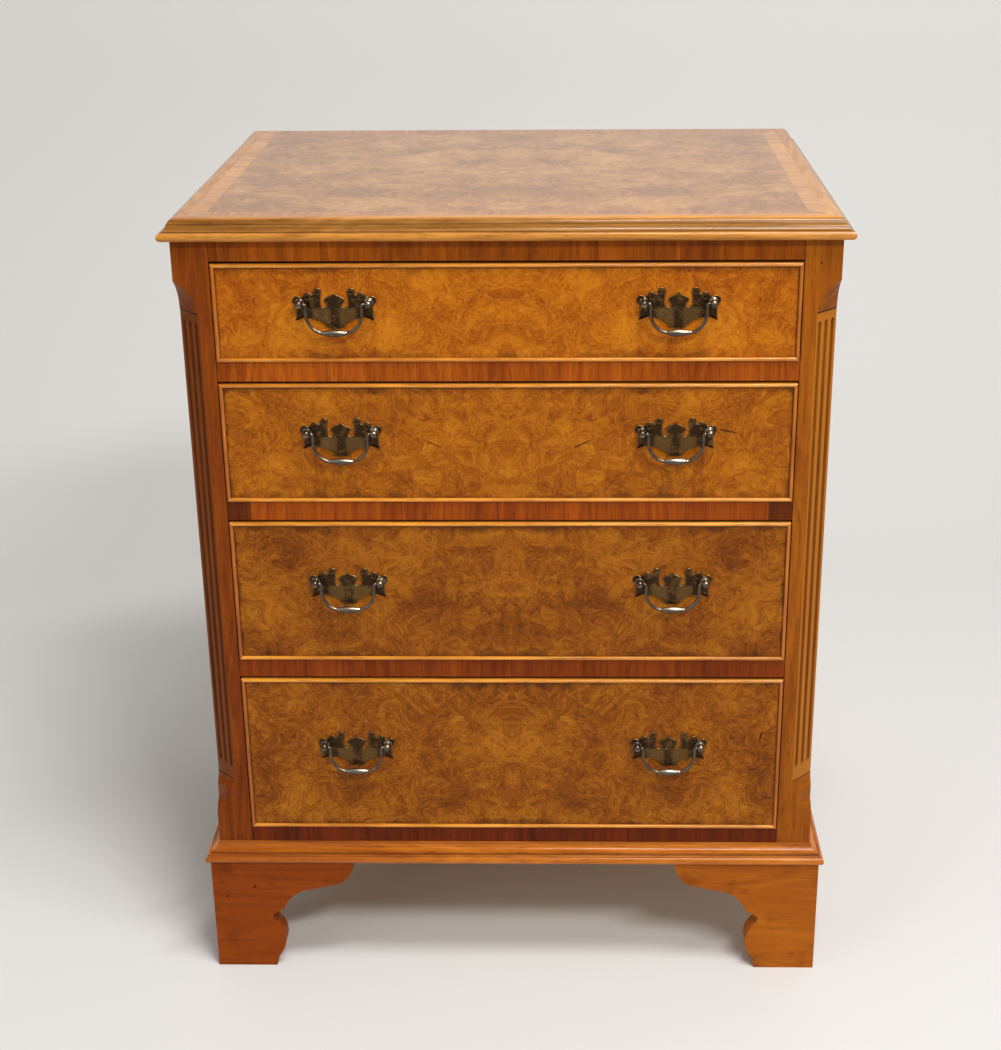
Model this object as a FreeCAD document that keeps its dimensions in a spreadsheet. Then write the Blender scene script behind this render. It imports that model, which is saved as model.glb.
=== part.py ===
# Bachelors chest: a small walnut chest of four graduated drawers on ogee bracket
# feet, with fluted canted corners and swinging brass drop handles.
# Millimetres, +Z up. The origin is on the floor, under the middle of the chest.
import FreeCAD, Part
import math
import os
import re
import Sketcher

V = FreeCAD.Vector

SIZES = {
    # carcase, in plan
    "carcase_width": 610,       # across the corner posts
    "carcase_depth": 462,       # front of the posts to the back
    "post_width": 34,           # corner post, seen from the front
    "post_depth": 45,
    "side_thick": 18,
    "tongue_thick": 6,          # tongue of a side panel in its post
    "tongue_length": 8,
    "tongue_inset": 6,          # tongue to the panel's inner face
    "back_thick": 8,
    "back_rebate": 9,           # rebate in the side panels for the back
    "housing": 6,               # depth of the housings in the side panels
    # carcase, in height
    "foot_height": 128,
    "bottom_thick": 17.5,
    "rail_height": 19.5,
    "opening_4": 173,
    "opening_3": 149,
    "opening_2": 120,
    "opening_1": 95,
    "frieze_height": 20,
    "top_thick": 19.5,
    # rails and what the drawers run on
    "rail_depth": 60,
    "tenon_length": 12,
    "tenon_thick": 8,
    "tenon_width": 30,
    "tenon_inset": 8,           # front of the rail to the tenon
    "runner_width": 42,
    "guide_height": 18,
    "back_rail_height": 45,
    "back_rail_thick": 20,
    "stop_length": 30,
    "stop_depth": 15,
    "stop_height": 6,
    "stop_spread": 300,         # between the middles of a pair of stops
    "stop_gap": 0.3,
    # canted corners
    "cant_leg": 21,             # taken off each face of the corner
    "tongue_step": 0.7,         # the cant lies this much deeper than the tongues
    "upper_square": 38,         # square corner above the upper tongue
    "upper_tongue": 31,
    "lower_square": 53,         # square corner below the lower tongue
    "lower_tongue": 39,
    "lower_waist": 8.8,         # depth of the cut at the lower tongue's waist
    "lower_cove": 10,
    "lower_lobe": 13,
    "flute_count": 3,
    "flute_radius": 2.5,
    "flute_pitch": 9.5,
    "flute_upper_gap": 9,       # flutes to the upper tongue
    "flute_lower_gap": 14,
    # moulded top
    "top_projection": 10,
    "top_border": 14.5,         # carcase face to the moulding's glue line
    "top_setback": 4.5,         # carcase face to the upper arris
    "top_ovolo": 4.1,
    "top_quirk": 0.7,
    "top_cove": 6.1,
    "top_cove_foot": 6,
    "top_shoulder": 1.8,
    # base moulding
    "base_height": 20,
    "base_projection": 14,
    "base_torus": 8.4,
    "base_fillet": 1.4,
    "base_fillet_out": 11.4,
    "base_cove_out": 7.8,
    "base_cove_foot": 10.4,
    "base_cove_head": 18.4,
    "base_lip": 1.5,
    # ogee bracket feet
    "foot_projection": 9.5,
    "bracket_length": 148.5,
    "bracket_thick": 20,
    "foot_toe": 62,
    "toe_swell": 2.5,
    "toe_rise": 12,
    "lobe_top": 55.5,
    "cusp_height": 62.5,
    "cusp_depth": 60.5,
    "cove_foot": 71,
    "cove_start": 73.5,
    "cove_end": 94.5,
    "arch_drop": 35.5,
    "ogee_drop": 26.5,
    "ogee_start": 133.5,
    "bracket_lip": 4,
    "rear_board": 110,
    "rear_toe": 50,
    "rear_lip": 30,
    "block_size": 42,
    "block_chamfer": 22,
    "block_clear": 3,
    # drawers
    "side_gap": 1.1,
    "top_gap": 1.9,
    "bottom_gap": 0.3,
    "front_thick": 20,
    "front_lap": 6,             # wood left in front of the dovetails
    "drawer_side": 9.5,
    "drawer_length": 431,       # front plane to the back of the drawer
    "drawer_back": 9.5,
    "back_drop": 4,             # top of the drawer's back below that of its sides
    "back_rise": 0.8,           # the back above the groove for the floor
    "pin_narrow": 3,
    "pin_wide": 8,
    "floor_thick": 5,
    "floor_level": 8,
    "groove_depth": 4.5,
    "groove_play": 0.2,
    "bead_thick": 3.5,
    "bead_proud": 2.5,
    # drop handles
    "handle_spread": 315,       # between the middles of a drawer's handles
    "handle_level_1": 57.6,     # pivot above the lower edge of its opening
    "handle_level_2": 71.8,
    "handle_level_3": 86.5,
    "handle_level_4": 98.7,
    "boring": 63.5,             # between the two posts of a handle
    "plate_width": 77.6,
    "plate_height": 38.5,
    "plate_thick": 1.2,
    "pivot_reach": 10,          # drawer face to the pivot
    "ball_radius": 4.2,
    "neck_radius": 2.3,
    "collar_radius": 4.4,
    "collar_thick": 1.2,
    "bolt_radius": 1.9,
    "bolt_play": 0.1,
    "nut_radius": 4.6,
    "nut_thick": 3.5,
    "bolt_end": 1.5,
    "arm_spread": 51.2,         # between the middles of a bail's arms
    "wire_radius": 1.6,
    "elbow_length": 1.8,        # from an arm's middle to its shoulder at the post
    "bail_bend": 13.6,
    "bail_drop": 27.4,
    "grip_length": 23,
    "grip_radius": 3.6,
    "pivot_radius": 1.2,
    "pivot_play": 0.05,
    "pivot_length": 3.6,
    # cut nails in the back
    "nail_length": 28,
    "nail_head": 5,
    "nail_head_thick": 1.2,
    "nail_shank": 3,
    "nail_tip": 1.4,
    "nail_play": 0.05,
    "nail_spread": 300,
}

TAILS = {1: 3, 2: 4, 3: 5, 4: 6}     # dovetails in each drawer's corners

HALF_ROUND = 1                       # bulge of a half circle
FLUTE_SIDES = 16
SIDES = 8                            # flats round the small brass turnings and wires

doc = FreeCAD.newDocument("BachelorsChest")
sheet = doc.addObject("Spreadsheet::Sheet", "Sizes")
for row, (alias, number) in enumerate(SIZES.items(), 1):
    sheet.set(f"A{row}", alias)
    sheet.set(f"B{row}", str(number))
    sheet.setAlias(f"B{row}", alias)
doc.recompute()

# Lines that several pieces share, in the carcase's own frame: X = 0 in the middle,
# Y = 0 at the front of the posts and Z = 0 on the floor.
HALF = "(carcase_width / 2)"
OPEN = "(carcase_width / 2 - post_width)"
INNER = "(carcase_width / 2 - side_thick)"
BACK = "(carcase_depth - back_thick)"
BOTTOM = {4: "(foot_height + bottom_thick + rail_height)"}
TOP = {4: f"({BOTTOM[4]} + opening_4)"}
for n in (3, 2, 1):
    BOTTOM[n] = f"({TOP[n + 1]} + rail_height)"
    TOP[n] = f"({BOTTOM[n]} + opening_{n})"
CARCASE_TOP = f"({TOP[1]} + frieze_height)"
RAILS = {
    "bottom_rail": "(foot_height + bottom_thick)",
    "drawer_rail_3": TOP[4],
    "drawer_rail_2": TOP[3],
    "drawer_rail_1": TOP[2],
}
# the chest's middle, from its back to the front of the base moulding, is the origin
FRONT = "((base_projection - carcase_depth) / 2)"

nodes = []


# ---------------------------------------------------------------- helpers

def bound(text):
    """The expression, with each size's name pointed at the sheet."""
    return re.sub(r"\b[a-z]\w*", lambda m: "Sizes." + m[0] if m[0] in SIZES else m[0], text)


def value(text):
    return float(sheet.evalExpression(bound(text)))


def bind(thing, prop, text):
    thing.setExpression(prop, bound(text))


def place(thing, x="0", y="0", z="0"):
    """Puts a thing at a point of the carcase's frame."""
    bind(thing, "Placement.Base.x", x)
    bind(thing, "Placement.Base.y", f"{FRONT} + {y}")
    bind(thing, "Placement.Base.z", z)


def node(label, thing):
    thing.Label = label
    nodes.append(thing)
    return thing


def new_body(name, x="0", y="0", z="0"):
    body = doc.addObject("PartDesign::Body", name)
    place(body, x, y, z)
    return body


def origin(body, role):
    return next(o for o in body.Origin.OriginFeatures if o.Role == role)


def rect(x0, y0, x1, y1):
    return [(x0, y0), (x1, y0), (x1, y1), (x0, y1)]


def arc(x, y, radius, start, stop, flats):
    """Corners along an arc of flats, from one angle in degrees to another."""
    turns = [start + (stop - start) * i / flats for i in range(flats + 1)]
    return [(f"{x} + {radius} * cos({t:.3f} deg)", f"{y} + {radius} * sin({t:.3f} deg)")
            for t in turns]


def ring(x, y, radius, sides=SIDES):
    """The section of small turnings: a regular polygon with its corners on the radius."""
    return arc(x, y, radius, 0, 360, sides)[:-1]


def round_hole(x, y, radius):
    """A polygon whose flats lie on the radius, so that a round of that radius passes."""
    return ring(x, y, f"({radius} / cos({180 / SIDES} deg))")


def mirrored_loop(half):
    """Closes half an outline, from its top to its bottom, with its mirror image in x = 0."""
    turned = half[::-1]
    return half[:-1] + [(f"-({x})", y, *above[2:]) for (x, y, *_), above in zip(turned, turned[1:])]


def fix_point(sketch, geo, end, x, y):
    for kind, text in (("DistanceX", x), ("DistanceY", y)):
        if text is None:
            continue
        index = sketch.addConstraint(Sketcher.Constraint(kind, geo, end, value(text)))
        bind(sketch, f"Constraints[{index}]", text)


def draw(sketch, corners, closed=True):
    """Draws lines and arcs through corners (x, y[, bulge]), all given as expressions.

    The bulge belongs to the span that starts at the corner. It is the tangent of a
    quarter of the arc's turn, above zero where the arc turns counter-clockwise."""
    ends = corners[1:] + corners[:1] if closed else corners[1:]
    spans = []
    for (x0, y0, *bulge), (x1, y1, *_) in zip(corners, ends):
        start, stop = V(value(x0), value(y0), 0), V(value(x1), value(y1), 0)
        if bulge:
            chord = stop - start
            middle = (start + stop) / 2 + V(chord.y, -chord.x, 0) * (bulge[0] / 2)
            if bulge[0] > 0:
                arc = Part.Arc(start, middle, stop)
            else:
                arc = Part.Arc(stop, middle, start)
            geo = sketch.addGeometry(arc, False)
            lean = (1 - bulge[0] ** 2) / (4 * bulge[0])
            if abs(chord.y) > abs(chord.x):
                x = f"(({x0}) + ({x1})) / 2 - (({y1}) - ({y0})) * ({lean:.6f})"
                fix_point(sketch, geo, 3, x, None)
            else:
                y = f"(({y0}) + ({y1})) / 2 + (({x1}) - ({x0})) * ({lean:.6f})"
                fix_point(sketch, geo, 3, None, y)
            spans.append((geo, (1, 2) if bulge[0] > 0 else (2, 1)))
        else:
            spans.append((sketch.addGeometry(Part.LineSegment(start, stop), False), (1, 2)))
    for (geo, (first, _)), (x, y, *_) in zip(spans, corners):
        fix_point(sketch, geo, first, x, y)
    if not closed:
        fix_point(sketch, spans[-1][0], spans[-1][1][1], *corners[-1][:2])
    following = spans[1:] + spans[:1] if closed else spans[1:]
    for (geo, (_, last)), (after, (first, _)) in zip(spans, following):
        sketch.addConstraint(Sketcher.Constraint("Coincident", geo, last, after, first))


def new_sketch(body, plane, at, loops, closed=True):
    """A sketch on the body's own plane, moved to `at` along the axis that it faces."""
    sketch = body.newObject("Sketcher::SketchObject", f"{body.Name}_sketch")
    sketch.AttachmentSupport = [(origin(body, plane + "_Plane"), "")]
    sketch.MapMode = "FlatFace"
    bind(sketch, "AttachmentOffset.Base.z", f"-({at})" if plane == "XZ" else at)
    for loop in loops:
        draw(sketch, loop, closed)
    return sketch


def pad(body, plane, at, length, *loops, toward=1):
    """Adds wood from a sketch, toward the axis's positive or negative end."""
    feature = body.newObject("PartDesign::Pad", f"{body.Name}_pad")
    feature.Profile = new_sketch(body, plane, at, loops)
    feature.Reversed = (toward < 0) != (plane == "XZ")
    bind(feature, "Length", length)
    body.Tip = feature
    return feature


def pocket(body, plane, at, length, *loops, toward=1):
    """Cuts wood away from a sketch. With no length, the cut runs right through."""
    feature = body.newObject("PartDesign::Pocket", f"{body.Name}_pocket")
    feature.Profile = new_sketch(body, plane, at, loops)
    feature.Reversed = (toward > 0) != (plane == "XZ")
    if length is None:
        feature.Type = "ThroughAll"
    else:
        bind(feature, "Length", length)
    body.Tip = feature
    return feature


def loft(body, sections, kind="AdditiveLoft"):
    """Joins the sections' corners with flat bands."""
    feature = body.newObject(f"PartDesign::{kind}", f"{body.Name}_loft")
    feature.Profile = sections[0]
    feature.Sections = sections[1:]
    feature.Ruled = True
    body.Tip = feature
    return feature


def banded(name, rings):
    """A solid of flat facets between rings of points, closed at its first and last ring."""
    facets = [Part.Face(Part.makePolygon(end + end[:1])) for end in (rings[0], rings[-1])]
    for near, far in zip(rings, rings[1:]):
        for i in range(-1, len(near) - 1):
            facets.append(Part.Face(Part.makePolygon(
                [near[i], near[i + 1], far[i + 1], far[i], near[i]])))
    solid = Part.Solid(Part.Shell(facets))
    if solid.Volume < 0:
        solid.reverse()
    feature = doc.addObject("Part::Feature", name)
    feature.Shape = solid
    return feature


def facet_ring(centre, side, up, radius):
    """A ring of points round a centre, across two directions."""
    turns = [math.tau * (i + 0.5) / SIDES for i in range(SIDES)]
    return [centre + side * (radius * math.cos(t)) + up * (radius * math.sin(t)) for t in turns]


def repeat(body, originals, direction, span, count):
    """Repeats features evenly over a span."""
    pattern = body.newObject("PartDesign::LinearPattern", f"{body.Name}_pattern")
    pattern.Originals = originals
    pattern.Direction = direction
    bind(pattern, "Length", span)
    bind(pattern, "Occurrences", count)
    body.Tip = pattern
    return pattern


def mirror(name, source, normal=V(1, 0, 0), x="0", y=None):
    """The source's mirror image in the plane through (x, y) that faces `normal`."""
    image = doc.addObject("Part::Mirroring", name)
    image.Source = source
    image.Normal = normal
    bind(image, "Base.x", x)
    if y is not None:
        bind(image, "Base.y", f"{FRONT} + {y}")
    return image


def copy_of(source, name, x, y, z, axis=V(0, 0, 1), angle=0):
    link = doc.addObject("App::Link", name)
    link.LinkedObject = source
    link.Placement = FreeCAD.Placement(V(0, 0, 0), FreeCAD.Rotation(axis, angle))
    place(link, x, y, z)
    return link


def group(label, members):
    """Several solids of one name."""
    compound = doc.addObject("Part::Compound", label)
    compound.Links = members
    return compound


def copies(label, source, places):
    """A group of copies of one solid, one at each place."""
    return group(label, [copy_of(source, f"{label}_{i}", *at) for i, at in enumerate(places, 1)])


def nailed(label, source, holes):
    """The source with the nails' holes cut in it."""
    cut = doc.addObject("Part::Cut", label)
    cut.Base = source
    cut.Tool = holes
    return cut


# ---------------------------------------------------------------- nails

def cut_nail(name, play):
    """A square nail that points down the y axis, or with play the hole for it."""
    body = doc.addObject("PartDesign::Body", name)
    head, shank, tip = (f"({size} / 2 + {play})" for size in ("nail_head", "nail_shank", "nail_tip"))
    pad(body, "XZ", "0", f"nail_head_thick + {play}", rect(f"-{head}", f"-{head}", head, head),
        toward=-1)
    neck, end = "-nail_head_thick", f"-(nail_length + {play})"
    sections = [new_sketch(body, "XZ", at, [rect(f"-{half}", f"-{half}", half, half)])
                for at, half in ((neck, shank), (end, tip))]
    loft(body, sections)
    return body


def nails():
    """The back is nailed to the sides, the back rail and the bottom."""
    edge = f"({INNER} + back_rebate / 2)"
    low, high = "(foot_height + bottom_thick * 2)", f"({CARCASE_TOP} - back_rail_height * 1.5)"
    places = [(f"{side}{edge}", "carcase_depth", z)
              for side in ("-", "") for z in (low, f"({low} + {high}) / 2", high)]
    places += [(x, "carcase_depth", z) for x in ("-nail_spread / 2", "nail_spread / 2")
               for z in ("foot_height + bottom_thick / 2", f"{CARCASE_TOP} - back_rail_height / 2")]
    node("back_nails", copies("back_nails", cut_nail("cut_nail", "0"), places))
    return copies("nail_holes", cut_nail("nail_hole", "nail_play"), places)


# ---------------------------------------------------------------- carcase

def corner_post():
    """The right-hand post: mortised, grooved, canted with lamb's tongues, and fluted."""
    post = new_body("corner_post_right")
    pad(post, "XY", "foot_height", f"{CARCASE_TOP} - foot_height",
        rect(OPEN, "0", HALF, "post_depth"))
    mortises = []
    for foot, height in [(z, "rail_height") for z in RAILS.values()] + [(TOP[1], "frieze_height")]:
        low = f"{foot} + ({height} - tenon_thick) / 2"
        mortises.append(rect("tenon_inset", low, "tenon_inset + tenon_width",
                             f"{low} + tenon_thick"))
    pocket(post, "YZ", OPEN, "tenon_length", *mortises)
    pocket(post, "XY", "0", None,
           rect(f"{INNER} + tongue_inset", "post_depth - tongue_length",
                f"{INNER} + tongue_inset + tongue_thick", "post_depth"))

    depth = "(cant_leg * sqrt(2) / 2)"
    upper = f"({CARCASE_TOP} - upper_square)"
    lower = "(foot_height + lower_square)"
    outside = "-cant_leg / 4"
    cant = new_sketch(post, "XZ", "0", [[
        (outside, upper), (outside, lower),
        ("0", lower, -0.2),
        ("lower_waist", f"{lower} + lower_lobe"),
        ("lower_waist", f"{lower} + lower_tongue - lower_cove", 0.25),
        (f"{depth} - tongue_step", f"{lower} + lower_tongue"),
        (depth, f"{lower} + lower_tongue"),
        (depth, f"{upper} - upper_tongue"),
        (f"{depth} - tongue_step", f"{upper} - upper_tongue", 0.208),
        ("0", upper)]])
    # the sketch stands in the upright plane that halves the corner, its x axis inward
    cant.AttachmentOffset = FreeCAD.Placement(V(0, 0, 0), FreeCAD.Rotation(V(0, 1, 0), 135))
    bind(cant, "AttachmentOffset.Base.x", HALF)
    bind(cant, "AttachmentOffset.Base.z", "0")
    cut = post.newObject("PartDesign::Pocket", "cant")
    cut.Profile = cant
    cut.Midplane = True
    bind(cut, "Length", "cant_leg * 4")

    foot = f"({lower} + lower_tongue + flute_lower_gap)"
    head = f"({upper} - upper_tongue - flute_upper_gap)"
    first = "(flute_pitch * (flute_count - 1) * sqrt(2) / 4)"
    middle = (f"{HALF} - cant_leg / 2 - {first}", f"cant_leg / 2 - {first}")
    sections = [new_sketch(post, "XY", at, [ring(*middle, radius, FLUTE_SIDES)])
                for at, radius in ((foot, "flute_radius / 4"),
                                   (f"{foot} + flute_radius * 0.7", "flute_radius"),
                                   (f"{head} - flute_radius * 0.7", "flute_radius"),
                                   (head, "flute_radius / 4"))]
    flute = loft(post, sections, "SubtractiveLoft")
    repeat(post, [flute], (cant, ["N_Axis"]), "flute_pitch * (flute_count - 1)", "flute_count")
    node("corner_post_right", post)
    node("corner_post_left", mirror("corner_post_left", post))


def rail(name, foot, height):
    """A front rail: it laps behind both posts and is stub-tenoned into them."""
    body = new_body(name)
    pad(body, "XY", foot, height, [
        (f"-{OPEN}", "0"), (OPEN, "0"), (OPEN, "post_depth"), (INNER, "post_depth"),
        (INNER, "rail_depth"), (f"-{INNER}", "rail_depth"), (f"-{INNER}", "post_depth"),
        (f"-{OPEN}", "post_depth")])
    pad(body, "XY", f"{foot} + ({height} - tenon_thick) / 2", "tenon_thick",
        rect(f"-({OPEN} + tenon_length)", "tenon_inset",
             f"{OPEN} + tenon_length", "tenon_inset + tenon_width"))
    node(name, body)


def side_panels(holes):
    body = new_body("side_board")
    pad(body, "XY", "foot_height", f"{CARCASE_TOP} - foot_height",
        rect(INNER, "post_depth", HALF, "carcase_depth"))
    pad(body, "XY", "foot_height", f"{CARCASE_TOP} - foot_height",
        rect(f"{INNER} + tongue_inset", "post_depth - tongue_length",
             f"{INNER} + tongue_inset + tongue_thick", "post_depth"))
    pocket(body, "XY", "0", None, rect(INNER, BACK, f"{INNER} + back_rebate", "carcase_depth"))
    pocket(body, "XY", "foot_height", "bottom_thick",
           rect(INNER, "post_depth", f"{INNER} + housing", BACK))
    pocket(body, "XY", CARCASE_TOP, "back_rail_height",
           rect(INNER, f"{BACK} - back_rail_thick", f"{INNER} + housing", BACK), toward=-1)
    node("side_panel_right", nailed("side_panel_right", body, holes))
    node("side_panel_left", nailed("side_panel_left", mirror("side_board_left", body), holes))


def carcase_boards(holes):
    bottom = new_body("bottom_plank")
    pad(bottom, "XY", "foot_height", "bottom_thick", [
        (f"-{OPEN}", "0"), (OPEN, "0"), (OPEN, "post_depth"),
        (f"{INNER} + housing", "post_depth"), (f"{INNER} + housing", BACK),
        (f"-({INNER} + housing)", BACK), (f"-({INNER} + housing)", "post_depth"),
        (f"-{OPEN}", "post_depth")])
    node("bottom_board", nailed("bottom_board", bottom, holes))

    back = new_body("back_plank")
    pad(back, "XZ", BACK, "back_thick",
        rect(f"-({INNER} + back_rebate)", "foot_height", f"{INNER} + back_rebate", CARCASE_TOP))
    node("back_panel", nailed("back_panel", back, holes))

    back_rail = new_body("back_rail_plank")
    pad(back_rail, "XY", f"{CARCASE_TOP} - back_rail_height", "back_rail_height",
        rect(f"-({INNER} + housing)", f"{BACK} - back_rail_thick", f"{INNER} + housing", BACK))
    node("back_rail", nailed("back_rail", back_rail, holes))

    top = new_body("top_panel")
    pad(top, "XY", CARCASE_TOP, "top_thick",
        rect(f"-({HALF} - top_border)", "top_border", f"{HALF} - top_border", "carcase_depth"))
    node("top_panel", top)

    kicker = new_body("kicker")
    pad(kicker, "XY", TOP[1], "frieze_height",
        rect(f"{INNER} - runner_width", "rail_depth", INNER, f"{BACK} - back_rail_thick"))
    node("drawer_kickers", group("drawer_kickers", [kicker, mirror("kicker_left", kicker)]))


def drawer_runners():
    """L-shaped runners: the drawer rides on the foot and the upright guides its side."""
    runner = doc.addObject("PartDesign::Body", "runner")
    pad(runner, "XZ", "rail_depth", f"{BACK} - rail_depth", [
        (f"{INNER} - runner_width", "-rail_height"), (INNER, "-rail_height"),
        (INNER, "guide_height"), (OPEN, "guide_height"), (OPEN, "0"),
        (f"{INNER} - runner_width", "0")])
    right = copies("runners_right", runner, [("0", "0", BOTTOM[n]) for n in (1, 2, 3, 4)])
    node("drawer_runners", group("drawer_runners", [right, mirror("runners_left", right)]))


def drawer_stops():
    """Small blocks on the rails that the drawer fronts close against."""
    stop = doc.addObject("Part::Box", "stop")
    bind(stop, "Length", "stop_length")
    bind(stop, "Width", "stop_depth")
    bind(stop, "Height", "stop_height")
    node("drawer_stops", copies("drawer_stops", stop, [
        (f"{side} * stop_spread / 2 - stop_length / 2", "front_thick + stop_gap", BOTTOM[n])
        for n in (1, 2, 3, 4) for side in (-1, 1)]))


# ---------------------------------------------------------------- mouldings

def moulding(label, profile, inner, outer):
    """A moulding along the front and both sides, mitred at the corners.

    The profile's first coordinate is the distance out from the carcase."""
    front = new_body(f"{label}_front")
    pad(front, "YZ", f"-({HALF} + {outer})", f"2 * ({HALF} + {outer})",
        [(f"-({out})", z, *[-b for b in bulge]) for out, z, *bulge in profile])
    behind, beyond = f"({inner} + 1)", f"({outer} + 1)"
    for side in ("-", ""):
        pocket(front, "XY", "0", None, [
            (f"{side}({HALF} - {behind})", behind), (f"{side}({HALF} + {beyond})", f"-{beyond}"),
            (f"{side}({HALF} + {beyond})", behind)])
    right = new_body(f"{label}_right")
    pad(right, "XZ", f"-{outer}", f"{outer} + carcase_depth",
        [(f"{HALF} + {out}", z, *bulge) for out, z, *bulge in profile])
    pocket(right, "XY", "0", None, [
        (f"{HALF} - {behind}", behind), (f"{HALF} + {beyond}", f"-{beyond}"),
        (f"{HALF} - {behind}", f"-{beyond}")])
    node(label, group(label, [front, right, mirror(f"{label}_left", right)]))


def top_moulding():
    """From the top down: ovolo, quirk, cove and a full torus."""
    head = f"({CARCASE_TOP} + top_thick)"
    torus = "(top_thick - top_ovolo - top_quirk - top_cove)"
    nose = f"(top_projection - {torus} / 2)"
    moulding("top_moulding", [
        ("-top_border", CARCASE_TOP), (nose, CARCASE_TOP, HALF_ROUND),
        (nose, f"{CARCASE_TOP} + {torus}"), ("top_cove_foot", f"{CARCASE_TOP} + {torus}", -0.25),
        ("top_shoulder", f"{CARCASE_TOP} + {torus} + top_cove"),
        ("top_shoulder - 0.5", f"{head} - top_ovolo", 0.3),
        ("-top_setback", head), ("-top_border", head)],
        "top_border", "top_projection")


def base_moulding():
    """From the floor up: a torus, a quirk, a fillet, a cove and a lip."""
    foot = "foot_height"
    nose = "(base_projection - base_torus / 2)"
    moulding("base_moulding", [
        ("0", foot), (nose, foot, HALF_ROUND), (nose, f"{foot} + base_torus"),
        ("base_fillet_out", f"{foot} + base_torus"),
        ("base_fillet_out", f"{foot} + base_torus + base_fillet"),
        ("base_cove_out + 0.8", f"{foot} + base_torus + base_fillet"),
        ("base_cove_out", f"{foot} + base_cove_foot + 2", -0.36),
        ("base_lip", f"{foot} + base_cove_head"),
        ("base_lip", f"{foot} + base_height"), ("0", f"{foot} + base_height")],
        "0", "base_projection")


# ---------------------------------------------------------------- feet

def bracket(name, mitred):
    """One side of a bracket foot. Its corner is at x = 0 and its face at y = 0."""
    body = doc.addObject("PartDesign::Body", name)
    pad(body, "XZ", "0", "bracket_thick", [
        ("0", "0"), ("foot_toe", "0"), ("foot_toe + toe_swell", "toe_rise", 0.45),
        ("cusp_depth + 1", "lobe_top"), ("cusp_depth", "cusp_height"),
        ("cove_start", "cove_foot", -0.22), ("cove_end", "foot_height - arch_drop"),
        ("ogee_start", "foot_height - ogee_drop", 0.22),
        ("bracket_length", "foot_height - bracket_lip"),
        ("bracket_length", "foot_height"), ("0", "foot_height")])
    if mitred:
        pocket(body, "XY", "0", None,
               [("0", "0"), ("bracket_thick", "bracket_thick"), ("0", "bracket_thick")])
    return body


def feet():
    corner = f"({HALF} + foot_projection)"
    front = copies("front_bracket_left", bracket("front_bracket", True),
                   [(f"-{corner}", "-foot_projection", "0")])
    side = mirror("side_bracket_left", front, V(1, -1, 0), f"-{corner}", "-foot_projection")
    pair = group("foot_front_left", [front, side])
    node("foot_front_left", pair)
    node("foot_front_right", mirror("foot_front_right", pair))

    side = copy_of(bracket("rear_bracket", False), "rear_bracket_left",
                   f"-{corner}", "carcase_depth", "0", V(0, 0, 1), -90)
    board = new_body("rear_board", f"-({corner} - bracket_thick)")
    pad(board, "XZ", "carcase_depth - bracket_thick", "bracket_thick", [
        ("0", "0"), ("rear_toe", "0"), ("rear_board", "foot_height - rear_lip"),
        ("rear_board", "foot_height"), ("0", "foot_height")])
    pair = group("foot_rear_left", [side, board])
    node("foot_rear_left", pair)
    node("foot_rear_right", mirror("foot_rear_right", pair))

    block = doc.addObject("PartDesign::Body", "block")
    pad(block, "XY", "block_clear", "foot_height - block_clear", [
        ("0", "0"), ("block_size", "0"), ("block_size", "block_size - block_chamfer"),
        ("block_size - block_chamfer", "block_size"), ("0", "block_size")])
    across = f"({corner} - bracket_thick)"
    near, far = "bracket_thick - foot_projection", "carcase_depth - bracket_thick"
    up = V(0, 0, 1)
    node("foot_blocks", copies("foot_blocks", block, [
        (f"-{across}", near, "0", up, 0), (across, near, "0", up, 90),
        (across, far, "0", up, 180), (f"-{across}", far, "0", up, 270)]))


# ---------------------------------------------------------------- drawers

WIDE = f"({OPEN} - side_gap)"          # half a drawer's width
SLIM = f"({WIDE} - drawer_side)"       # half the width between its sides
BOLT_HOLE = "(bolt_radius + bolt_play)"


def pins(body, middle, tip, root, span, count):
    """Cuts the gaps between a side's tails: narrow at the tip and wide at the root."""
    cut = pocket(body, "YZ", SLIM, "drawer_side", [
        (tip, f"{middle} - pin_narrow / 2"), (root, f"{middle} - pin_wide / 2"),
        (root, f"{middle} + pin_wide / 2"), (tip, f"{middle} + pin_narrow / 2")])
    repeat(body, [cut], (origin(body, "Z_Axis"), [""]), span, count)


def sockets(body, foot, tip, root, pitch, count):
    """Cuts the sockets for the tails of both sides into a drawer's front or back."""
    cuts = []
    for side, toward in ((SLIM, 1), (f"-{SLIM}", -1)):
        cuts.append(pocket(body, "YZ", side, "drawer_side", [
            (tip, f"{foot} + pin_narrow / 2"), (tip, f"{foot} + {pitch} - pin_narrow / 2"),
            (root, f"{foot} + {pitch} - pin_wide / 2"), (root, f"{foot} + pin_wide / 2")],
            toward=toward))
    repeat(body, cuts, (origin(body, "Z_Axis"), [""]), f"{pitch} * ({count} - 1)", str(count))


def drawer_front(name, height, tails, level, foot):
    body = new_body(name, z=foot)
    pad(body, "XZ", "0", "front_thick", rect(f"-{WIDE}", "0", WIDE, height))
    pocket(body, "XZ", "0", "front_lap", rect(f"-{WIDE}", "0", WIDE, height),
           rect(f"-({WIDE} - bead_thick)", "bead_thick", f"{WIDE} - bead_thick",
                f"{height} - bead_thick"))
    pocket(body, "XZ", "front_thick", "groove_depth",
           rect(f"-{SLIM}", "floor_level", SLIM, "floor_level + floor_thick + groove_play"),
           toward=-1)
    sockets(body, "0", "front_lap", "front_thick", f"({height} / {tails})", tails)
    pocket(body, "XZ", "0", None, *[
        round_hole(f"{side} * handle_spread / 2 + {end} * boring / 2", level, BOLT_HOLE)
        for side in (-1, 1) for end in (-1, 1)])
    node(name, body)


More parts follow.
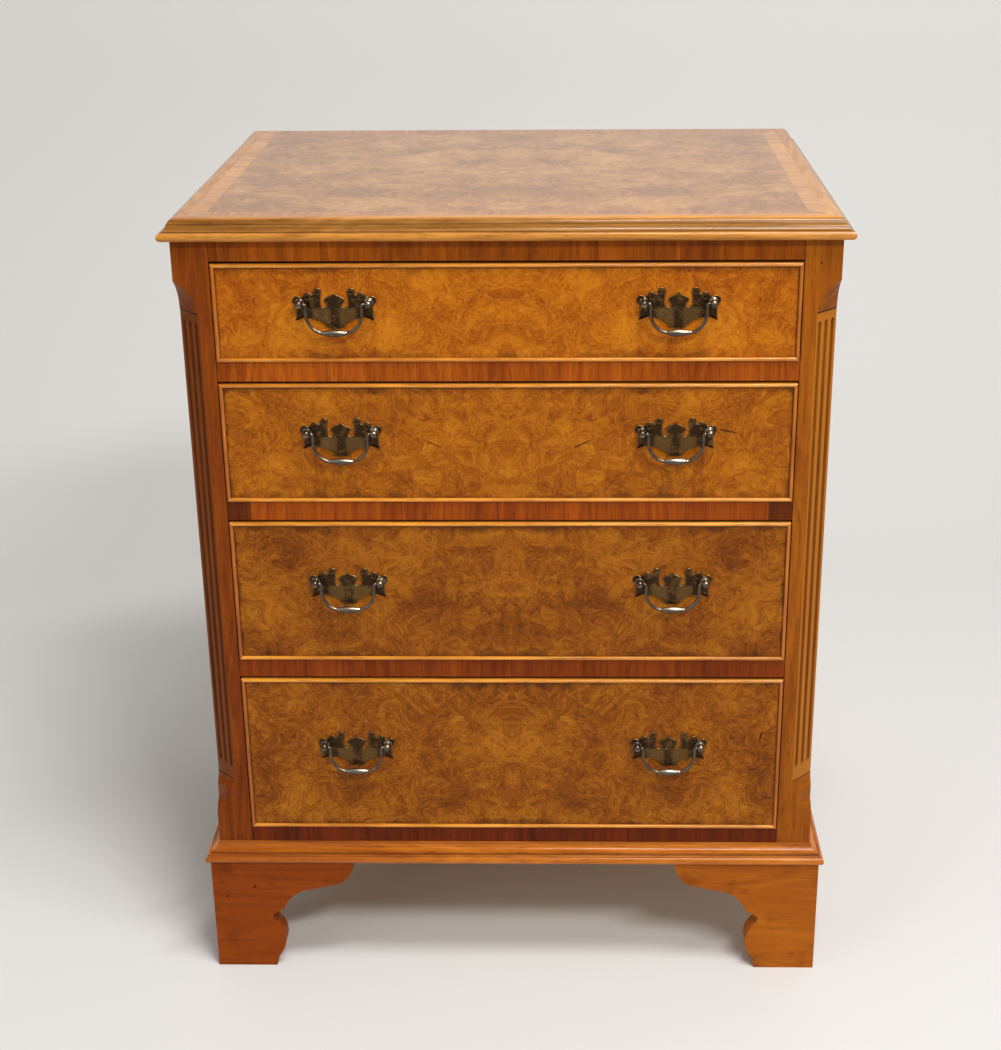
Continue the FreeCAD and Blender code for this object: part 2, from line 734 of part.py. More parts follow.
def drawer_box(n, height, tails, foot):
    """Sides, back and floor, dovetailed and grooved together."""
    floor_top = "(floor_level + floor_thick + groove_play)"
    back_foot, back_head = f"({floor_top} + back_rise)", f"({height} - back_drop)"
    low, high = f"({back_foot} + pin_wide / 2)", f"({back_head} - pin_wide / 2)"
    pitch = f"(({high} - {low}) / {tails})"
    rear = "(drawer_length - drawer_back)"

    side = new_body(f"drawer_{n}_side", z=foot)
    pad(side, "YZ", SLIM, "drawer_side", rect("front_lap", "0", "drawer_length", height))
    pocket(side, "XZ", "0", None,
           rect(SLIM, "floor_level", f"{SLIM} + groove_depth", floor_top))
    pins(side, "0", "front_lap", "front_thick", height, str(tails + 1))
    pins(side, low, "drawer_length", rear, f"{high} - {low}", str(tails + 1))
    label = f"drawer_{n}_sides"
    node(label, group(label, [side, mirror(f"drawer_{n}_side_left", side)]))

    back = new_body(f"drawer_{n}_back", z=foot)
    pad(back, "XZ", rear, "drawer_back",
        rect(f"-{WIDE}", back_foot, WIDE, back_head))
    sockets(back, f"({low} - {pitch})", "drawer_length", rear, pitch, tails + 2)
    node(f"drawer_{n}_back", back)

    floor = new_body(f"drawer_{n}_bottom", z=foot)
    pad(floor, "XY", "floor_level", "floor_thick",
        rect(f"-({SLIM} + groove_depth)", "front_thick - groove_depth",
             f"{SLIM} + groove_depth", "drawer_length"))
    node(f"drawer_{n}_bottom", floor)


def cock_bead(n, height, foot):
    """Four round-nosed strips let in round the front and mitred at the corners."""
    nose, middle = "(bead_thick / 2 - bead_proud)", "bead_thick / 2"
    lower = new_body(f"drawer_{n}_bead_lower", z=foot)
    pad(lower, "YZ", f"-{WIDE}", f"2 * {WIDE}", arc(nose, middle, middle, 90, 270, 4) + [
        ("front_lap", "0"), ("front_lap", "bead_thick")])
    for side in ("-", ""):
        pocket(lower, "XZ", "-bead_proud", None, [
            (f"{side}{WIDE}", "0"), (f"{side}{WIDE}", "bead_thick"),
            (f"{side}({WIDE} - bead_thick)", "bead_thick")])
    upright = new_body(f"drawer_{n}_bead_right", z=foot)
    pad(upright, "XY", "0", height,
        arc(f"{WIDE} - {middle}", nose, middle, 180, 360, 4) + [
            (WIDE, "front_lap"), (f"{WIDE} - bead_thick", "front_lap")])
    for end, inside in (("0", "bead_thick"), (height, f"{height} - bead_thick")):
        pocket(upright, "XZ", "-bead_proud", None, [
            (WIDE, end), (f"{WIDE} - bead_thick", inside), (f"{WIDE} - bead_thick", end)])
    upper = mirror(f"drawer_{n}_bead_upper", lower, V(0, 0, 1))
    bind(upper, "Base.z", f"{foot} + {height} / 2")
    left = mirror(f"drawer_{n}_bead_left", upright)
    label = f"drawer_{n}_cock_bead"
    node(label, group(label, [lower, upper, left, upright]))


# ---------------------------------------------------------------- handles

# Half the plate's outline, from the crest down: (x, z) from the pivots' line.
PLATE = [
    (0, 8.4), (5, 7.4), (9, 4.4), (9.4, 0.8), (7.2, -4.4), (10.1, -6), (12.6, -3.6),
    (13.2, 2.6), (11.6, 9), (13, 12.6), (16.4, 13.4), (19.2, 10.6), (20, 7.6), (24.6, 8.8),
    (30, 5.1), (34.4, 5.6), (38.4, 3), (38.8, -1.4), (36, -8), (36.2, -17.8), (28.2, -14.3),
    (22.2, -15.4), (16.8, -17.4), (11.4, -19.9), (8.6, -23.6), (0, -25.1)]


def back_plate():
    """The scrolled plate behind a bail."""
    body = doc.addObject("PartDesign::Body", "back_plate")
    across, levels = zip(*PLATE)
    wide, high = 2 * max(across), max(levels) - min(levels)
    half = [(f"{x} * plate_width / {wide}", f"{z} * plate_height / {high}") for x, z in PLATE]
    pad(body, "XZ", "-plate_thick", "plate_thick", mirrored_loop(half))
    pocket(body, "XZ", "-plate_thick", None, *[
        round_hole(f"{end} * boring / 2", "0", BOLT_HOLE) for end in (-1, 1)])
    return body


def handle_post():
    """Ball, neck, collar and bolt in one turning, drilled for the bail's pivot."""
    ball, neck, collar, bolt = map(value, (
        "ball_radius", "neck_radius", "collar_radius", "bolt_radius"))
    seat, edge = value("pivot_reach - plate_thick"), value("collar_thick")
    end = value("pivot_reach + front_thick + nut_thick + bolt_end")
    outline = [(-ball * math.cos(math.radians(turn)), ball * math.sin(math.radians(turn)))
               for turn in (20, 60, 100)]
    outline += [(math.sqrt(ball ** 2 - neck ** 2), neck), (seat - edge, neck),
                (seat - edge / 2, collar), (seat, collar), (seat, bolt), (end, bolt)]
    turning = banded("post_turning", [
        facet_ring(V(0, y, 0), V(1, 0, 0), V(0, 0, 1), radius) for y, radius in outline])
    hole = doc.addObject("Part::Prism", "pivot_hole")
    hole.Polygon = SIDES
    hole.Placement.Rotation = FreeCAD.Rotation(V(0, 1, 0), -90)
    bind(hole, "Circumradius", f"(pivot_radius + pivot_play) / cos({180 / SIDES} deg)")
    bind(hole, "Height", "ball_radius")
    post = doc.addObject("Part::Cut", "handle_post")
    post.Base = turning
    post.Tool = hole
    return post


def handle_nut():
    body = doc.addObject("PartDesign::Body", "handle_nut")
    pad(body, "XZ", "pivot_reach + front_thick", "nut_thick",
        ring("0", "0", "nut_radius", 6), round_hole("0", "0", BOLT_HOLE))
    return body


def bail_handle():
    """A drop handle that hangs from its pivots at z = 0, with a swelled grip.

    It is listed from its right pivot to the middle of its grip: the place, the way that
    the wire's mitre faces, half the turn that it makes there, and its radius."""
    arm, elbow, tip = map(value, ("arm_spread / 2", "arm_spread / 2 + elbow_length",
                                  "arm_spread / 2 + elbow_length + pivot_length"))
    wire, pivot, thick = map(value, ("wire_radius", "pivot_radius", "grip_radius"))
    drop, bend, grip = map(value, ("bail_drop", "bail_bend", "grip_length / 2"))
    half = [(tip, 0, 0, 0, pivot), (elbow, 0, 0, 0, pivot), (elbow, 0, 0, 0, wire),
            (arm, 0, 45, 45, wire)]
    for turn, facing, mitre in ((0, 82.5, 7.5), (30, 60, 15), (60, 30, 15), (90, 7.5, 7.5)):
        out, down = math.cos(math.radians(turn)), math.sin(math.radians(turn))
        half.append((arm - bend + bend * out, bend - drop - bend * down, facing, mitre, wire))
    half += [(grip, -drop, 0, 0, wire), (grip / 2, -drop, 0, 0, (wire + 3 * thick) / 4)]
    other = [(-x, z, -facing, mitre, radius) for x, z, facing, mitre, radius in half[::-1]]
    rings = []
    for x, z, facing, mitre, radius in half + [(0, -drop, 0, 0, thick)] + other:
        up = V(-math.sin(math.radians(facing)), 0, math.cos(math.radians(facing)))
        up /= math.cos(math.radians(mitre))
        rings.append(facet_ring(V(x, 0, z), V(0, 1, 0), up, radius))
    return banded("bail_handle", rings)


def handles(n, plate, post, nut, bail):
    level = f"{BOTTOM[n]} + handle_level_{n}"
    middles = {"left": "-handle_spread / 2", "right": "handle_spread / 2"}
    label = f"drawer_{n}_backplates"
    node(label, copies(label, plate, [(x, "0", level) for x in middles.values()]))
    y_axis = V(0, 1, 0)
    ends = [(f"{x} + {end} * boring / 2", "-pivot_reach", level, y_axis, turn)
            for x in middles.values() for end, turn in ((-1, 180), (1, 0))]
    label = f"drawer_{n}_handle_posts"
    posts = copies(f"drawer_{n}_posts", post, ends)
    nuts = copies(f"drawer_{n}_nuts", nut, ends)
    node(label, group(label, [posts, nuts]))
    for side, x in middles.items():
        label = f"drawer_{n}_bail_{side}"
        node(label, copies(label, bail, [(x, "-pivot_reach", level)]))


# ---------------------------------------------------------------- the chest

nail_holes = nails()
corner_post()
for name, foot in RAILS.items():
    rail(name, foot, "rail_height")
rail("frieze_rail", TOP[1], "frieze_height")
side_panels(nail_holes)
carcase_boards(nail_holes)
drawer_runners()
drawer_stops()
top_moulding()
base_moulding()
feet()
hardware = back_plate(), handle_post(), handle_nut(), bail_handle()
for n, tails in TAILS.items():
    height = f"(opening_{n} - bottom_gap - top_gap)"
    foot = f"({BOTTOM[n]} + bottom_gap)"
    drawer_front(f"drawer_{n}_front", height, tails, f"handle_level_{n} - bottom_gap", foot)
    drawer_box(n, height, tails, foot)
    cock_bead(n, height, foot)
    handles(n, *hardware)

doc.recompute()

for thing in doc.Objects:
    if "Invalid" in thing.State or "Error" in thing.State:
        raise RuntimeError(f"{thing.Label} failed: {thing.State}")
    if thing.TypeId in ("PartDesign::Pocket", "PartDesign::Groove", "PartDesign::LinearPattern"):
        if thing.Shape.Volume > thing.BaseFeature.Shape.Volume - 1e-3:
            raise RuntimeError(f"{thing.Label} cuts nothing")
for piece in nodes:
    if piece.Shape.isNull() or not piece.Shape.isValid() or not piece.Shape.Solids:
        raise RuntimeError(f"{piece.Label} has no valid solid")

os.makedirs("parts", exist_ok=True)
for piece in nodes:
    piece.Shape.exportStep(f"parts/{piece.Label}.step")
print(len(nodes), "nodes,", sum(len(piece.Shape.Solids) for piece in nodes), "solids")
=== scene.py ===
from math import atan, cos, pi, radians, sin, tau

import bmesh
import bpy
from mathutils import Matrix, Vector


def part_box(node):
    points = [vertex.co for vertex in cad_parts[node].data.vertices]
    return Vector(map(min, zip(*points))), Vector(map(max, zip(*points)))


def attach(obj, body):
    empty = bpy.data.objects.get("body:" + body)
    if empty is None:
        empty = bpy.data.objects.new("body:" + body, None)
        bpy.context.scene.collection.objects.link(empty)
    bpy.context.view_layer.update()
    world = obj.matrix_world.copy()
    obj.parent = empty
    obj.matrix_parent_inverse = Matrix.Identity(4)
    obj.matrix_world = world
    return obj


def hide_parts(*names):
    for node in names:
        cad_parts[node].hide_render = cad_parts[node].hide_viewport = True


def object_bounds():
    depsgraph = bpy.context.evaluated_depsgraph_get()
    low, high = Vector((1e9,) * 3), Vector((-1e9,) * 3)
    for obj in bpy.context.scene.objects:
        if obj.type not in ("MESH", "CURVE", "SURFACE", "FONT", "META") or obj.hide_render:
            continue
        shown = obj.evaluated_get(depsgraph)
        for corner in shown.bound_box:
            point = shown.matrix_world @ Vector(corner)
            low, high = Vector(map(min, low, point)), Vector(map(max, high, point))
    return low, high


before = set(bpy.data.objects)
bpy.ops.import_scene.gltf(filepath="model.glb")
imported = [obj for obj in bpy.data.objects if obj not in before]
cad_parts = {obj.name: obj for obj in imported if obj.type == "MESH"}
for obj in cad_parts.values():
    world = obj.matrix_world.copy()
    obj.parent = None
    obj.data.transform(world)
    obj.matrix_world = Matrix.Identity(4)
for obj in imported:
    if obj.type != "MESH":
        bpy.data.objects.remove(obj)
cad_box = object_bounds()
scene = bpy.context.scene
MM = 0.001


# -------------------------------- studio
# The chest stands on a pale floor that sweeps up into a pale wall. Two strip lights over
# the camera's right shoulder light it, and a large dim one fills the left side. The floor
# and wall are clear from behind, so that the chest can be seen from there too.

def linear(colour):
    """An sRGB hex colour, as the linear RGBA that Blender's sockets take."""
    channels = [int(colour[i:i + 2], 16) / 255 for i in (1, 3, 5)]
    return [c / 12.92 if c <= 0.04045 else ((c + 0.055) / 1.055) ** 2.4 for c in channels] + [1]


def plug(node, sockets):
    """Gives a node's inputs their values, or the outputs they are linked to."""
    for name, given in sockets.items():
        if isinstance(given, bpy.types.NodeSocket):
            node.id_data.links.new(given, node.inputs[name])
        else:
            node.inputs[name].default_value = given


def add(tree, kind, sockets=None, **settings):
    """Adds a node with its own settings and its inputs."""
    node = tree.nodes.new(kind)
    for name, setting in settings.items():
        setattr(node, name, setting)
    plug(node, sockets or {})
    return node


def new_material(name):
    """A material, its node tree and its shader."""
    material = bpy.data.materials.new(name)
    material.use_nodes = True
    return material, material.node_tree, material.node_tree.nodes["Principled BSDF"]


def new_object(name, data, *materials):
    """An object in the scene, with its materials."""
    piece = bpy.data.objects.new(name, data)
    scene.collection.objects.link(piece)
    for material in materials:
        data.materials.append(material)
    return piece


FLOOR_FRONT, WALL, ROOM_HEIGHT, ROOM_HALF = -5.0, 1.5, 4.0, 6.0
SWEEP_RADIUS, SWEEP_STEPS = 0.7, 16

# Matt warm white paper: it takes a soft shadow and has no gloss.
paper, tree, shader = new_material("pale_backdrop_paper")
plug(shader, {"Base Color": linear("#dcdad6"), "Roughness": 0.9, "Specular IOR Level": 0.1})
seen_behind = add(tree, "ShaderNodeMath", {
    0: add(tree, "ShaderNodeNewGeometry").outputs["Backfacing"],
    1: add(tree, "ShaderNodeLightPath").outputs["Is Camera Ray"]}, operation="MULTIPLY").outputs[0]
clear = add(tree, "ShaderNodeBsdfTransparent").outputs[0]
one_sided = add(tree, "ShaderNodeMixShader", {
    0: seen_behind, 1: shader.outputs[0], 2: clear}).outputs[0]
plug(tree.nodes["Material Output"], {"Surface": one_sided})
line = [(FLOOR_FRONT, 0)]
for step in range(SWEEP_STEPS + 1):
    turn = pi / 2 * step / SWEEP_STEPS
    line.append((WALL - SWEEP_RADIUS * (1 - sin(turn)), SWEEP_RADIUS * (1 - cos(turn))))
line.append((WALL, ROOM_HEIGHT))
mesh = bpy.data.meshes.new("backdrop")
mesh.from_pydata([(x, y, z) for y, z in line for x in (-ROOM_HALF, ROOM_HALF)], [],
                 [(2 * i, 2 * i + 1, 2 * i + 3, 2 * i + 2) for i in range(len(line) - 1)])
mesh.shade_smooth()
backdrop = new_object("backdrop", mesh, paper)

scene.world = scene.world or bpy.data.worlds.new("room")
scene.world.use_nodes = True
plug(scene.world.node_tree.nodes["Background"], {"Color": linear("#eef0f2"), "Strength": 0.42})

CHEST_MIDDLE = (cad_box[0] + cad_box[1]) / 2
for name, place, width, height, watts in (
        ("strip_light_near", (1.25, -2.3, 2.75), 1.3, 0.25, 58),
        ("strip_light_far", (0.6, -1.0, 3.0), 1.3, 0.25, 48),
        ("window_left", (-2.6, -2.4, 1.6), 1.8, 1.8, 14)):
    lamp = bpy.data.lights.new(name, "AREA")
    lamp.shape = "RECTANGLE"
    lamp.size, lamp.size_y, lamp.energy = width, height, watts
    light = bpy.data.objects.new(name, lamp)
    scene.collection.objects.link(light)
    light.location = place
    light.rotation_euler = (CHEST_MIDDLE - light.location).to_track_quat("-Z", "Y").to_euler()

# A 36 mm frame with its long side upright, 1.15 m above the floor.
CAMERA_PLACE = (0.0583, -1.7855, 1.1451)
CAMERA_TURN = (68.475, 0.441, 1.083)
camera = bpy.data.objects.new("camera", bpy.data.cameras.new("camera"))
scene.collection.objects.link(camera)
camera.location = CAMERA_PLACE
camera.rotation_euler = [radians(angle) for angle in CAMERA_TURN]
camera.data.sensor_width, camera.data.lens = 36, 60.29
camera.data.shift_x, camera.data.shift_y = -0.0320, -0.0251
scene.camera = camera
scene.view_settings.view_transform = "Standard"


# -------------------------------- corner posts and sides
# Solid walnut posts, canted, carved with lamb's tongues and fluted, with the boards of the
# sides tongued into them. Stained, polished and waxed, with painted shade and old dark wax
# in the hollows.

def coordinates(tree):
    """A point's place in the chest's frame, in metres."""
    return add(tree, "ShaderNodeTexCoord").outputs["Object"]


def split(tree, place):
    """The x, y and z of a place."""
    return add(tree, "ShaderNodeSeparateXYZ", {0: place}).outputs


def noise(tree, place, size, detail=3, roughness=0.55, distortion=0):
    """Noise whose patches are about `size` metres wide."""
    return add(tree, "ShaderNodeTexNoise", {
        "Vector": place, "Scale": 1 / size, "Detail": detail, "Roughness": roughness,
        "Distortion": distortion}).outputs


def calc(tree, operation, *terms):
    """A sum on numbers or outputs."""
    return add(tree, "ShaderNodeMath", dict(enumerate(terms)), operation=operation).outputs[0]


def gap(tree, one, other):
    """How far apart two numbers are."""
    return calc(tree, "ABSOLUTE", calc(tree, "SUBTRACT", one, other))


def fade(tree, value, start, stop, low=0.0, high=1.0, kind="SMOOTHSTEP"):
    """Low up to `start`, high from `stop` on, and a smooth step between them."""
    return add(tree, "ShaderNodeMapRange", {
        "Value": value, "From Min": start, "From Max": stop, "To Min": low, "To Max": high},
        interpolation_type=kind).outputs[0]


def blend(tree, share, under, over):
    """One colour over another, by a share from 0 to 1."""
    return add(tree, "ShaderNodeMix", {0: share, 6: under, 7: over}, data_type="RGBA").outputs[2]


def polish(shader, roughness, coat, sheen=0.06):
    """Shellac and wax over stained wood: a soft sheen with a thin clear gloss on it."""
    plug(shader, {"Roughness": roughness, "IOR": 1.5, "Specular IOR Level": sheen,
                  "Coat Weight": coat, "Coat Roughness": 0.14, "Coat IOR": 1.48})


GRAIN_WAVE = 60 * MM         # width of the broad waves in the wood's tone
GRAIN_STREAK = 5 * MM        # year rings, where they come to the surface
GRAIN_PORE = 0.9 * MM        # open pores, drawn twice as coarse as they are
RINGS_IN_WAVE = 22           # fine bands from the dark of one wave to its light
PORE_TONE = "#331303"        # filler and stain, gone dark in the pores and joints
WAX_AND_SHADE_TONE = "#180903"         # wax and dust in a hollow, and the painted shade that lies there


def straight_grain(tree, place, grain, dark, light, contrast=1.0, pores=0.5):
    """Streaks, year rings and pores along one axis, as a colour and as a height."""
    def run(stretch):
        """The place, with patterns drawn out along the grain so many times."""
        scale = [1 / stretch if axis == grain else 1 for axis in "XYZ"]
        return add(tree, "ShaderNodeMapping", {"Vector": place, "Scale": scale}).outputs[0]

    wave = noise(tree, run(7), GRAIN_WAVE, 2, 0.45, 0.5)[0]
    ring = calc(tree, "PINGPONG", calc(tree, "MULTIPLY", wave, RINGS_IN_WAVE), 1)
    streak = noise(tree, run(16), GRAIN_STREAK, 4, 0.6, 0.4)[0]
    pore = noise(tree, run(18), GRAIN_PORE, 1, 0.5)[0]
    tone = calc(tree, "MULTIPLY_ADD", streak, 0.5, calc(tree, "MULTIPLY", wave, 0.38))
    tone = calc(tree, "MULTIPLY_ADD", ring, 0.12, tone)
    share = fade(tree, tone, 0.5 - 0.13 / contrast, 0.5 + 0.13 / contrast, kind="LINEAR")
    colour = blend(tree, share, linear(dark), linear(light))
    open_pore = fade(tree, pore, 0.33, 0.42, pores, 0)
    return blend(tree, open_pore, colour, linear(PORE_TONE)), pore


def walnut(name, grain, dark, light, roughness=0.36, coat=0.07, contrast=0.8, sheen=0.06,
           pores=0.35):
    """Stained and waxed walnut: dark pores in red-brown streaks, under a soft gloss."""
    material, tree, shader = new_material(name)
    colour, pore = straight_grain(tree, coordinates(tree), grain, dark, light, contrast, pores)
    # Hollows take a share of painted shade and dark wax, given per point as "hollow".
    hollow = add(tree, "ShaderNodeAttribute", attribute_name="hollow").outputs["Fac"]
    waxed_and_shaded = blend(tree, hollow, colour, linear(WAX_AND_SHADE_TONE))
    bump = add(tree, "ShaderNodeBump", {"Height": pore, "Strength": 0.12, "Distance": 0.2 * MM})
    plug(shader, {"Base Color": waxed_and_shaded, "Normal": bump.outputs[0]})
    polish(shader, roughness, coat, sheen)
    return material


def tint(material, share, tone):
    """Lays another tone over a material's colour, by a share that a function builds."""
    tree, shader = material.node_tree, material.node_tree.nodes["Principled BSDF"]
    plain = shader.inputs["Base Color"].links[0].from_socket
    plug(shader, {"Base Color": blend(tree, share(tree), plain, linear(tone))})


def blemish(material, left, level, length, width, lean=0):
    """A knot or crack at a point of the front, given in mm by its half length and width."""
    def share(tree):
        spot = add(tree, "ShaderNodeMapping", {
            "Vector": coordinates(tree), "Location": (left * MM, 0, level * MM),
            "Rotation": (0, radians(lean), 0), "Scale": (width * MM, 1e3, length * MM)},
            vector_type="TEXTURE").outputs[0]
        away = add(tree, "ShaderNodeVectorMath", {0: spot}, operation="LENGTH").outputs["Value"]
        ragged = noise(tree, coordinates(tree), 2.5 * MM)[0]
        away = calc(tree, "MULTIPLY_ADD", ragged, 0.9, away)
        return fade(tree, away, 0.9, 1.4, 0.85, 0)

    tint(material, share, "#2c1407")


def clean_copy(node, solid=lambda face: 0):
    """The mesh of a CAD node, with the seams between the faces of each solid closed."""
    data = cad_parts[node].data.copy()
    data.materials.clear()
    mesh = bmesh.new()
    mesh.from_mesh(data)
    solids = {}
    for face in mesh.faces:
        solids.setdefault(solid(face), set()).update(face.verts)
    for verts in solids.values():
        # A set has another order in each run, and the mesh's own order stays.
        in_order = [vert for vert in mesh.verts if vert in verts]
        bmesh.ops.remove_doubles(mesh, verts=in_order, dist=0.005 * MM)
    bmesh.ops.dissolve_limit(mesh, angle_limit=radians(0.5), verts=mesh.verts, edges=mesh.edges)
    return data, mesh


def ease(piece, width=0.5 * MM):
    """Takes the keenness off every arris, as sandpaper and wear do."""
    piece.data.shade_smooth()
    piece.data.set_sharp_from_angle(angle=radians(32))
    bevel = piece.modifiers.new("eased_arrises", "BEVEL")
    bevel.width, bevel.segments, bevel.limit_method = width, 2, "ANGLE"
    bevel.angle_limit = radians(32)
    bevel.harden_normals = True


def fit(piece, node, body):
    """Puts a piece in the place of a CAD node, on its body."""
    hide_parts(node)
    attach(piece, body)


def refinish(node, body, materials, choose=lambda face: 0, width=0.5 * MM, hollow=None,
             apart=False):
    """A node as it is, with eased arrises, a material on each face and painted shade with dark wax
    in hollows.
    Apart says that each of its materials is one solid."""
    data, mesh = clean_copy(node, choose) if apart else clean_copy(node)
    for face in mesh.faces:
        face.material_index = choose(face)
    if hollow:
        layer = mesh.verts.layers.float.new("hollow")
        for vert in mesh.verts:
            vert[layer] = hollow(vert.co)
    mesh.to_mesh(data)
    mesh.free()
    piece = new_object(node + "_wood", data, *materials)
    ease(piece, width)
    fit(piece, node, body)


# Upright grain with little figure. The left post is redder and darker than the right one,
# partly in its own wood and partly as painted shade on the side away from the lamps.
post_walnut = {"left": walnut("walnut_post_left", "Z", "#662804", "#8f4508"),
               "right": walnut("walnut_post_right", "Z", "#773606", "#a0590e")}
# Painted shade on the small level steps of the carving: nearly black and dull, so that they read as
# lines.
step_shade = walnut("dark_wax_in_walnut_steps", "Z", WAX_AND_SHADE_TONE, "#2c1306", 0.6, 0.0)
# Plain boards: broad soft streaks from top to bottom. The left board is darker, partly in its
# own wood and partly as painted shade on the side away from the lamps.
side_walnut = {"left": walnut("walnut_side_left", "Z", "#6a2c05", "#98500b"),
               "right": walnut("walnut_side_right", "Z", "#743406", "#a3590e")}
POST_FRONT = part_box("corner_post_right")[0][1]
POST_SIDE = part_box("corner_post_right")[1][0]
CANT_LEG = 21 * MM           # how far the cant cuts into each face
CANT_HEAD, CANT_FOOT = 711.5 * MM, 220 * MM      # where the tongues end on the cant
STEP_AREA = 40 * MM ** 2     # the largest step of the carving
# the flutes' depth, and the share of painted shade and dark wax at their bottoms
FLUTE_DEPTH, FLUTE_SHADE_AND_WAX = 1.6 * MM, 0.45


def is_tongue_step(face):
    """Whether a face of a post is one of the small level steps that end its carving."""
    middle = face.calc_center_median()
    in_cant = POST_SIDE - abs(middle.x) < CANT_LEG and middle.y - POST_FRONT < CANT_LEG
    return int(in_cant and abs(face.normal.z) > 0.9 and face.calc_area() < STEP_AREA)


def below_cant(place):
    """How much painted shade and dark wax a point takes: none on the cant's face, and most at a
    flute's bottom.
    """
    depth = (POST_SIDE - abs(place.x) + place.y - POST_FRONT - CANT_LEG) / 2 ** 0.5
    in_cant = POST_SIDE - abs(place.x) < CANT_LEG and place.y - POST_FRONT < CANT_LEG
    return min(1, max(0, depth / FLUTE_DEPTH)) * FLUTE_SHADE_AND_WAX if in_cant else 0


def cant_place(tree):
    """How far in from a post's faces a point lies: the larger way in, their sum, its height."""
    x, y, z = split(tree, coordinates(tree))
    from_side = calc(tree, "SUBTRACT", POST_SIDE, calc(tree, "ABSOLUTE", x))
    from_front = calc(tree, "SUBTRACT", y, POST_FRONT)
    larger = calc(tree, "MAXIMUM", from_side, from_front)
    return larger, calc(tree, "ADD", from_side, from_front), z


def lit_cant(tree):
    """Painted light on the cant between the tongues, fading out down in the flutes."""
    inside, depth, z = cant_place(tree)
    reached = fade(tree, depth, CANT_LEG - 1.5 * MM, CANT_LEG - 0.3 * MM, 0, 0.65)
    on_cant = calc(tree, "MULTIPLY", reached,
                   fade(tree, inside, CANT_LEG - 0.4 * MM, CANT_LEG, 1, 0))
    level = calc(tree, "MULTIPLY", calc(tree, "LESS_THAN", z, CANT_HEAD),
                 calc(tree, "GREATER_THAN", z, CANT_FOOT))
    proud = fade(tree, depth, CANT_LEG + 0.2 * MM, CANT_LEG + 1.6 * MM, 1, 0.15)
    return calc(tree, "MULTIPLY", calc(tree, "MULTIPLY", on_cant, level), proud)


def step_shadow_line(tree):
    """A painted shadow: the dark line across the cant just under the step where the upper tongue
    ends.
    """
    inside, _, z = cant_place(tree)
    away = gap(tree, z, CANT_HEAD - 0.3 * MM)
    return calc(tree, "MULTIPLY", fade(tree, away, 0.4 * MM, 1.3 * MM, 0.9, 0),
                fade(tree, inside, CANT_LEG - 1 * MM, CANT_LEG, 1, 0))


# Painted light on the cants, much stronger on the right post, which faces the lamps.
tint(post_walnut["left"], lit_cant, "#743a0a")
tint(post_walnut["right"], lit_cant, "#b8701a")
# A painted shadow line under the upper tongue's step, on both posts.
for material in post_walnut.values():
    tint(material, step_shadow_line, "#200c04")
blemish(post_walnut["right"], 286, 758, 1.6, 1.5)
for side in ("left", "right"):
    refinish(f"corner_post_{side}", "carcase", [post_walnut[side], step_shade],
             is_tongue_step, 0.3 * MM, below_cant)
    refinish(f"side_panel_{side}", "carcase", [side_walnut[side]])


# -------------------------------- rails
# Pine rails between the drawers, tenoned into the posts. Their fronts are crossbanded: the
# walnut veneer's grain runs up and down, in short lengths with fine joints between them.

def lining(name, grain):
    """Bare pine gone honey-coloured: faint grain, no gloss."""
    material, tree, shader = new_material(name)
    colour, pore = straight_grain(tree, coordinates(tree), grain, "#a8783f", "#cca062", pores=0.1)
    bump = add(tree, "ShaderNodeBump", {"Height": pore, "Strength": 0.3, "Distance": 0.3 * MM})
    plug(shader, {"Base Color": colour, "Normal": bump.outputs[0], "Roughness": 0.72, "IOR": 1.5})
    return material


lining_along = {grain: lining(f"pine_lining_{grain.lower()}", grain) for grain in "XYZ"}
# The long edges of rails and fronts are pine, only stained: dull and dark. Their darkness also
# paints the shade in the gaps round the drawers.
stained_and_shaded_edge = walnut("walnut_stain_on_pine_edge", "X", "#4a2209", "#75400f", 0.6, 0.0)
POST_INSIDE = POST_SIDE - 34 * MM       # the inner side of a post
PATCHED_RAIL, PATCH_LENGTH = "drawer_rail_2", 23 * MM    # darker pieces let in at its ends
BAND_LENGTH = 84 * MM        # a piece of crossbanding, cut across a leaf of veneer


def crossband(tree, place, run, grain, dark, light):
    """Short pieces of cross-grained veneer along one axis, each of its own tone."""
    axes = dict(zip("XYZ", split(tree, place)))
    length = calc(tree, "DIVIDE", axes[run], BAND_LENGTH)
    piece = calc(tree, "FLOOR", length)
    tone = add(tree, "ShaderNodeTexWhiteNoise", {"W": piece}, noise_dimensions="1D").outputs[0]
    shifted = add(tree, "ShaderNodeVectorMath", {0: place, 1: tone}, operation="ADD").outputs[0]
    colour, pore = straight_grain(tree, shifted, grain, dark, light, 0.8, 0.4)
    toned = blend(tree, calc(tree, "MULTIPLY", tone, 0.3), colour, linear(dark))
    edge = gap(tree, calc(tree, "FRACT", length), 0.5)
    joint = fade(tree, edge, 0.5 - 0.4 * MM / BAND_LENGTH, 0.5, 0, 0.7)
    return blend(tree, joint, toned, linear(PORE_TONE)), pore


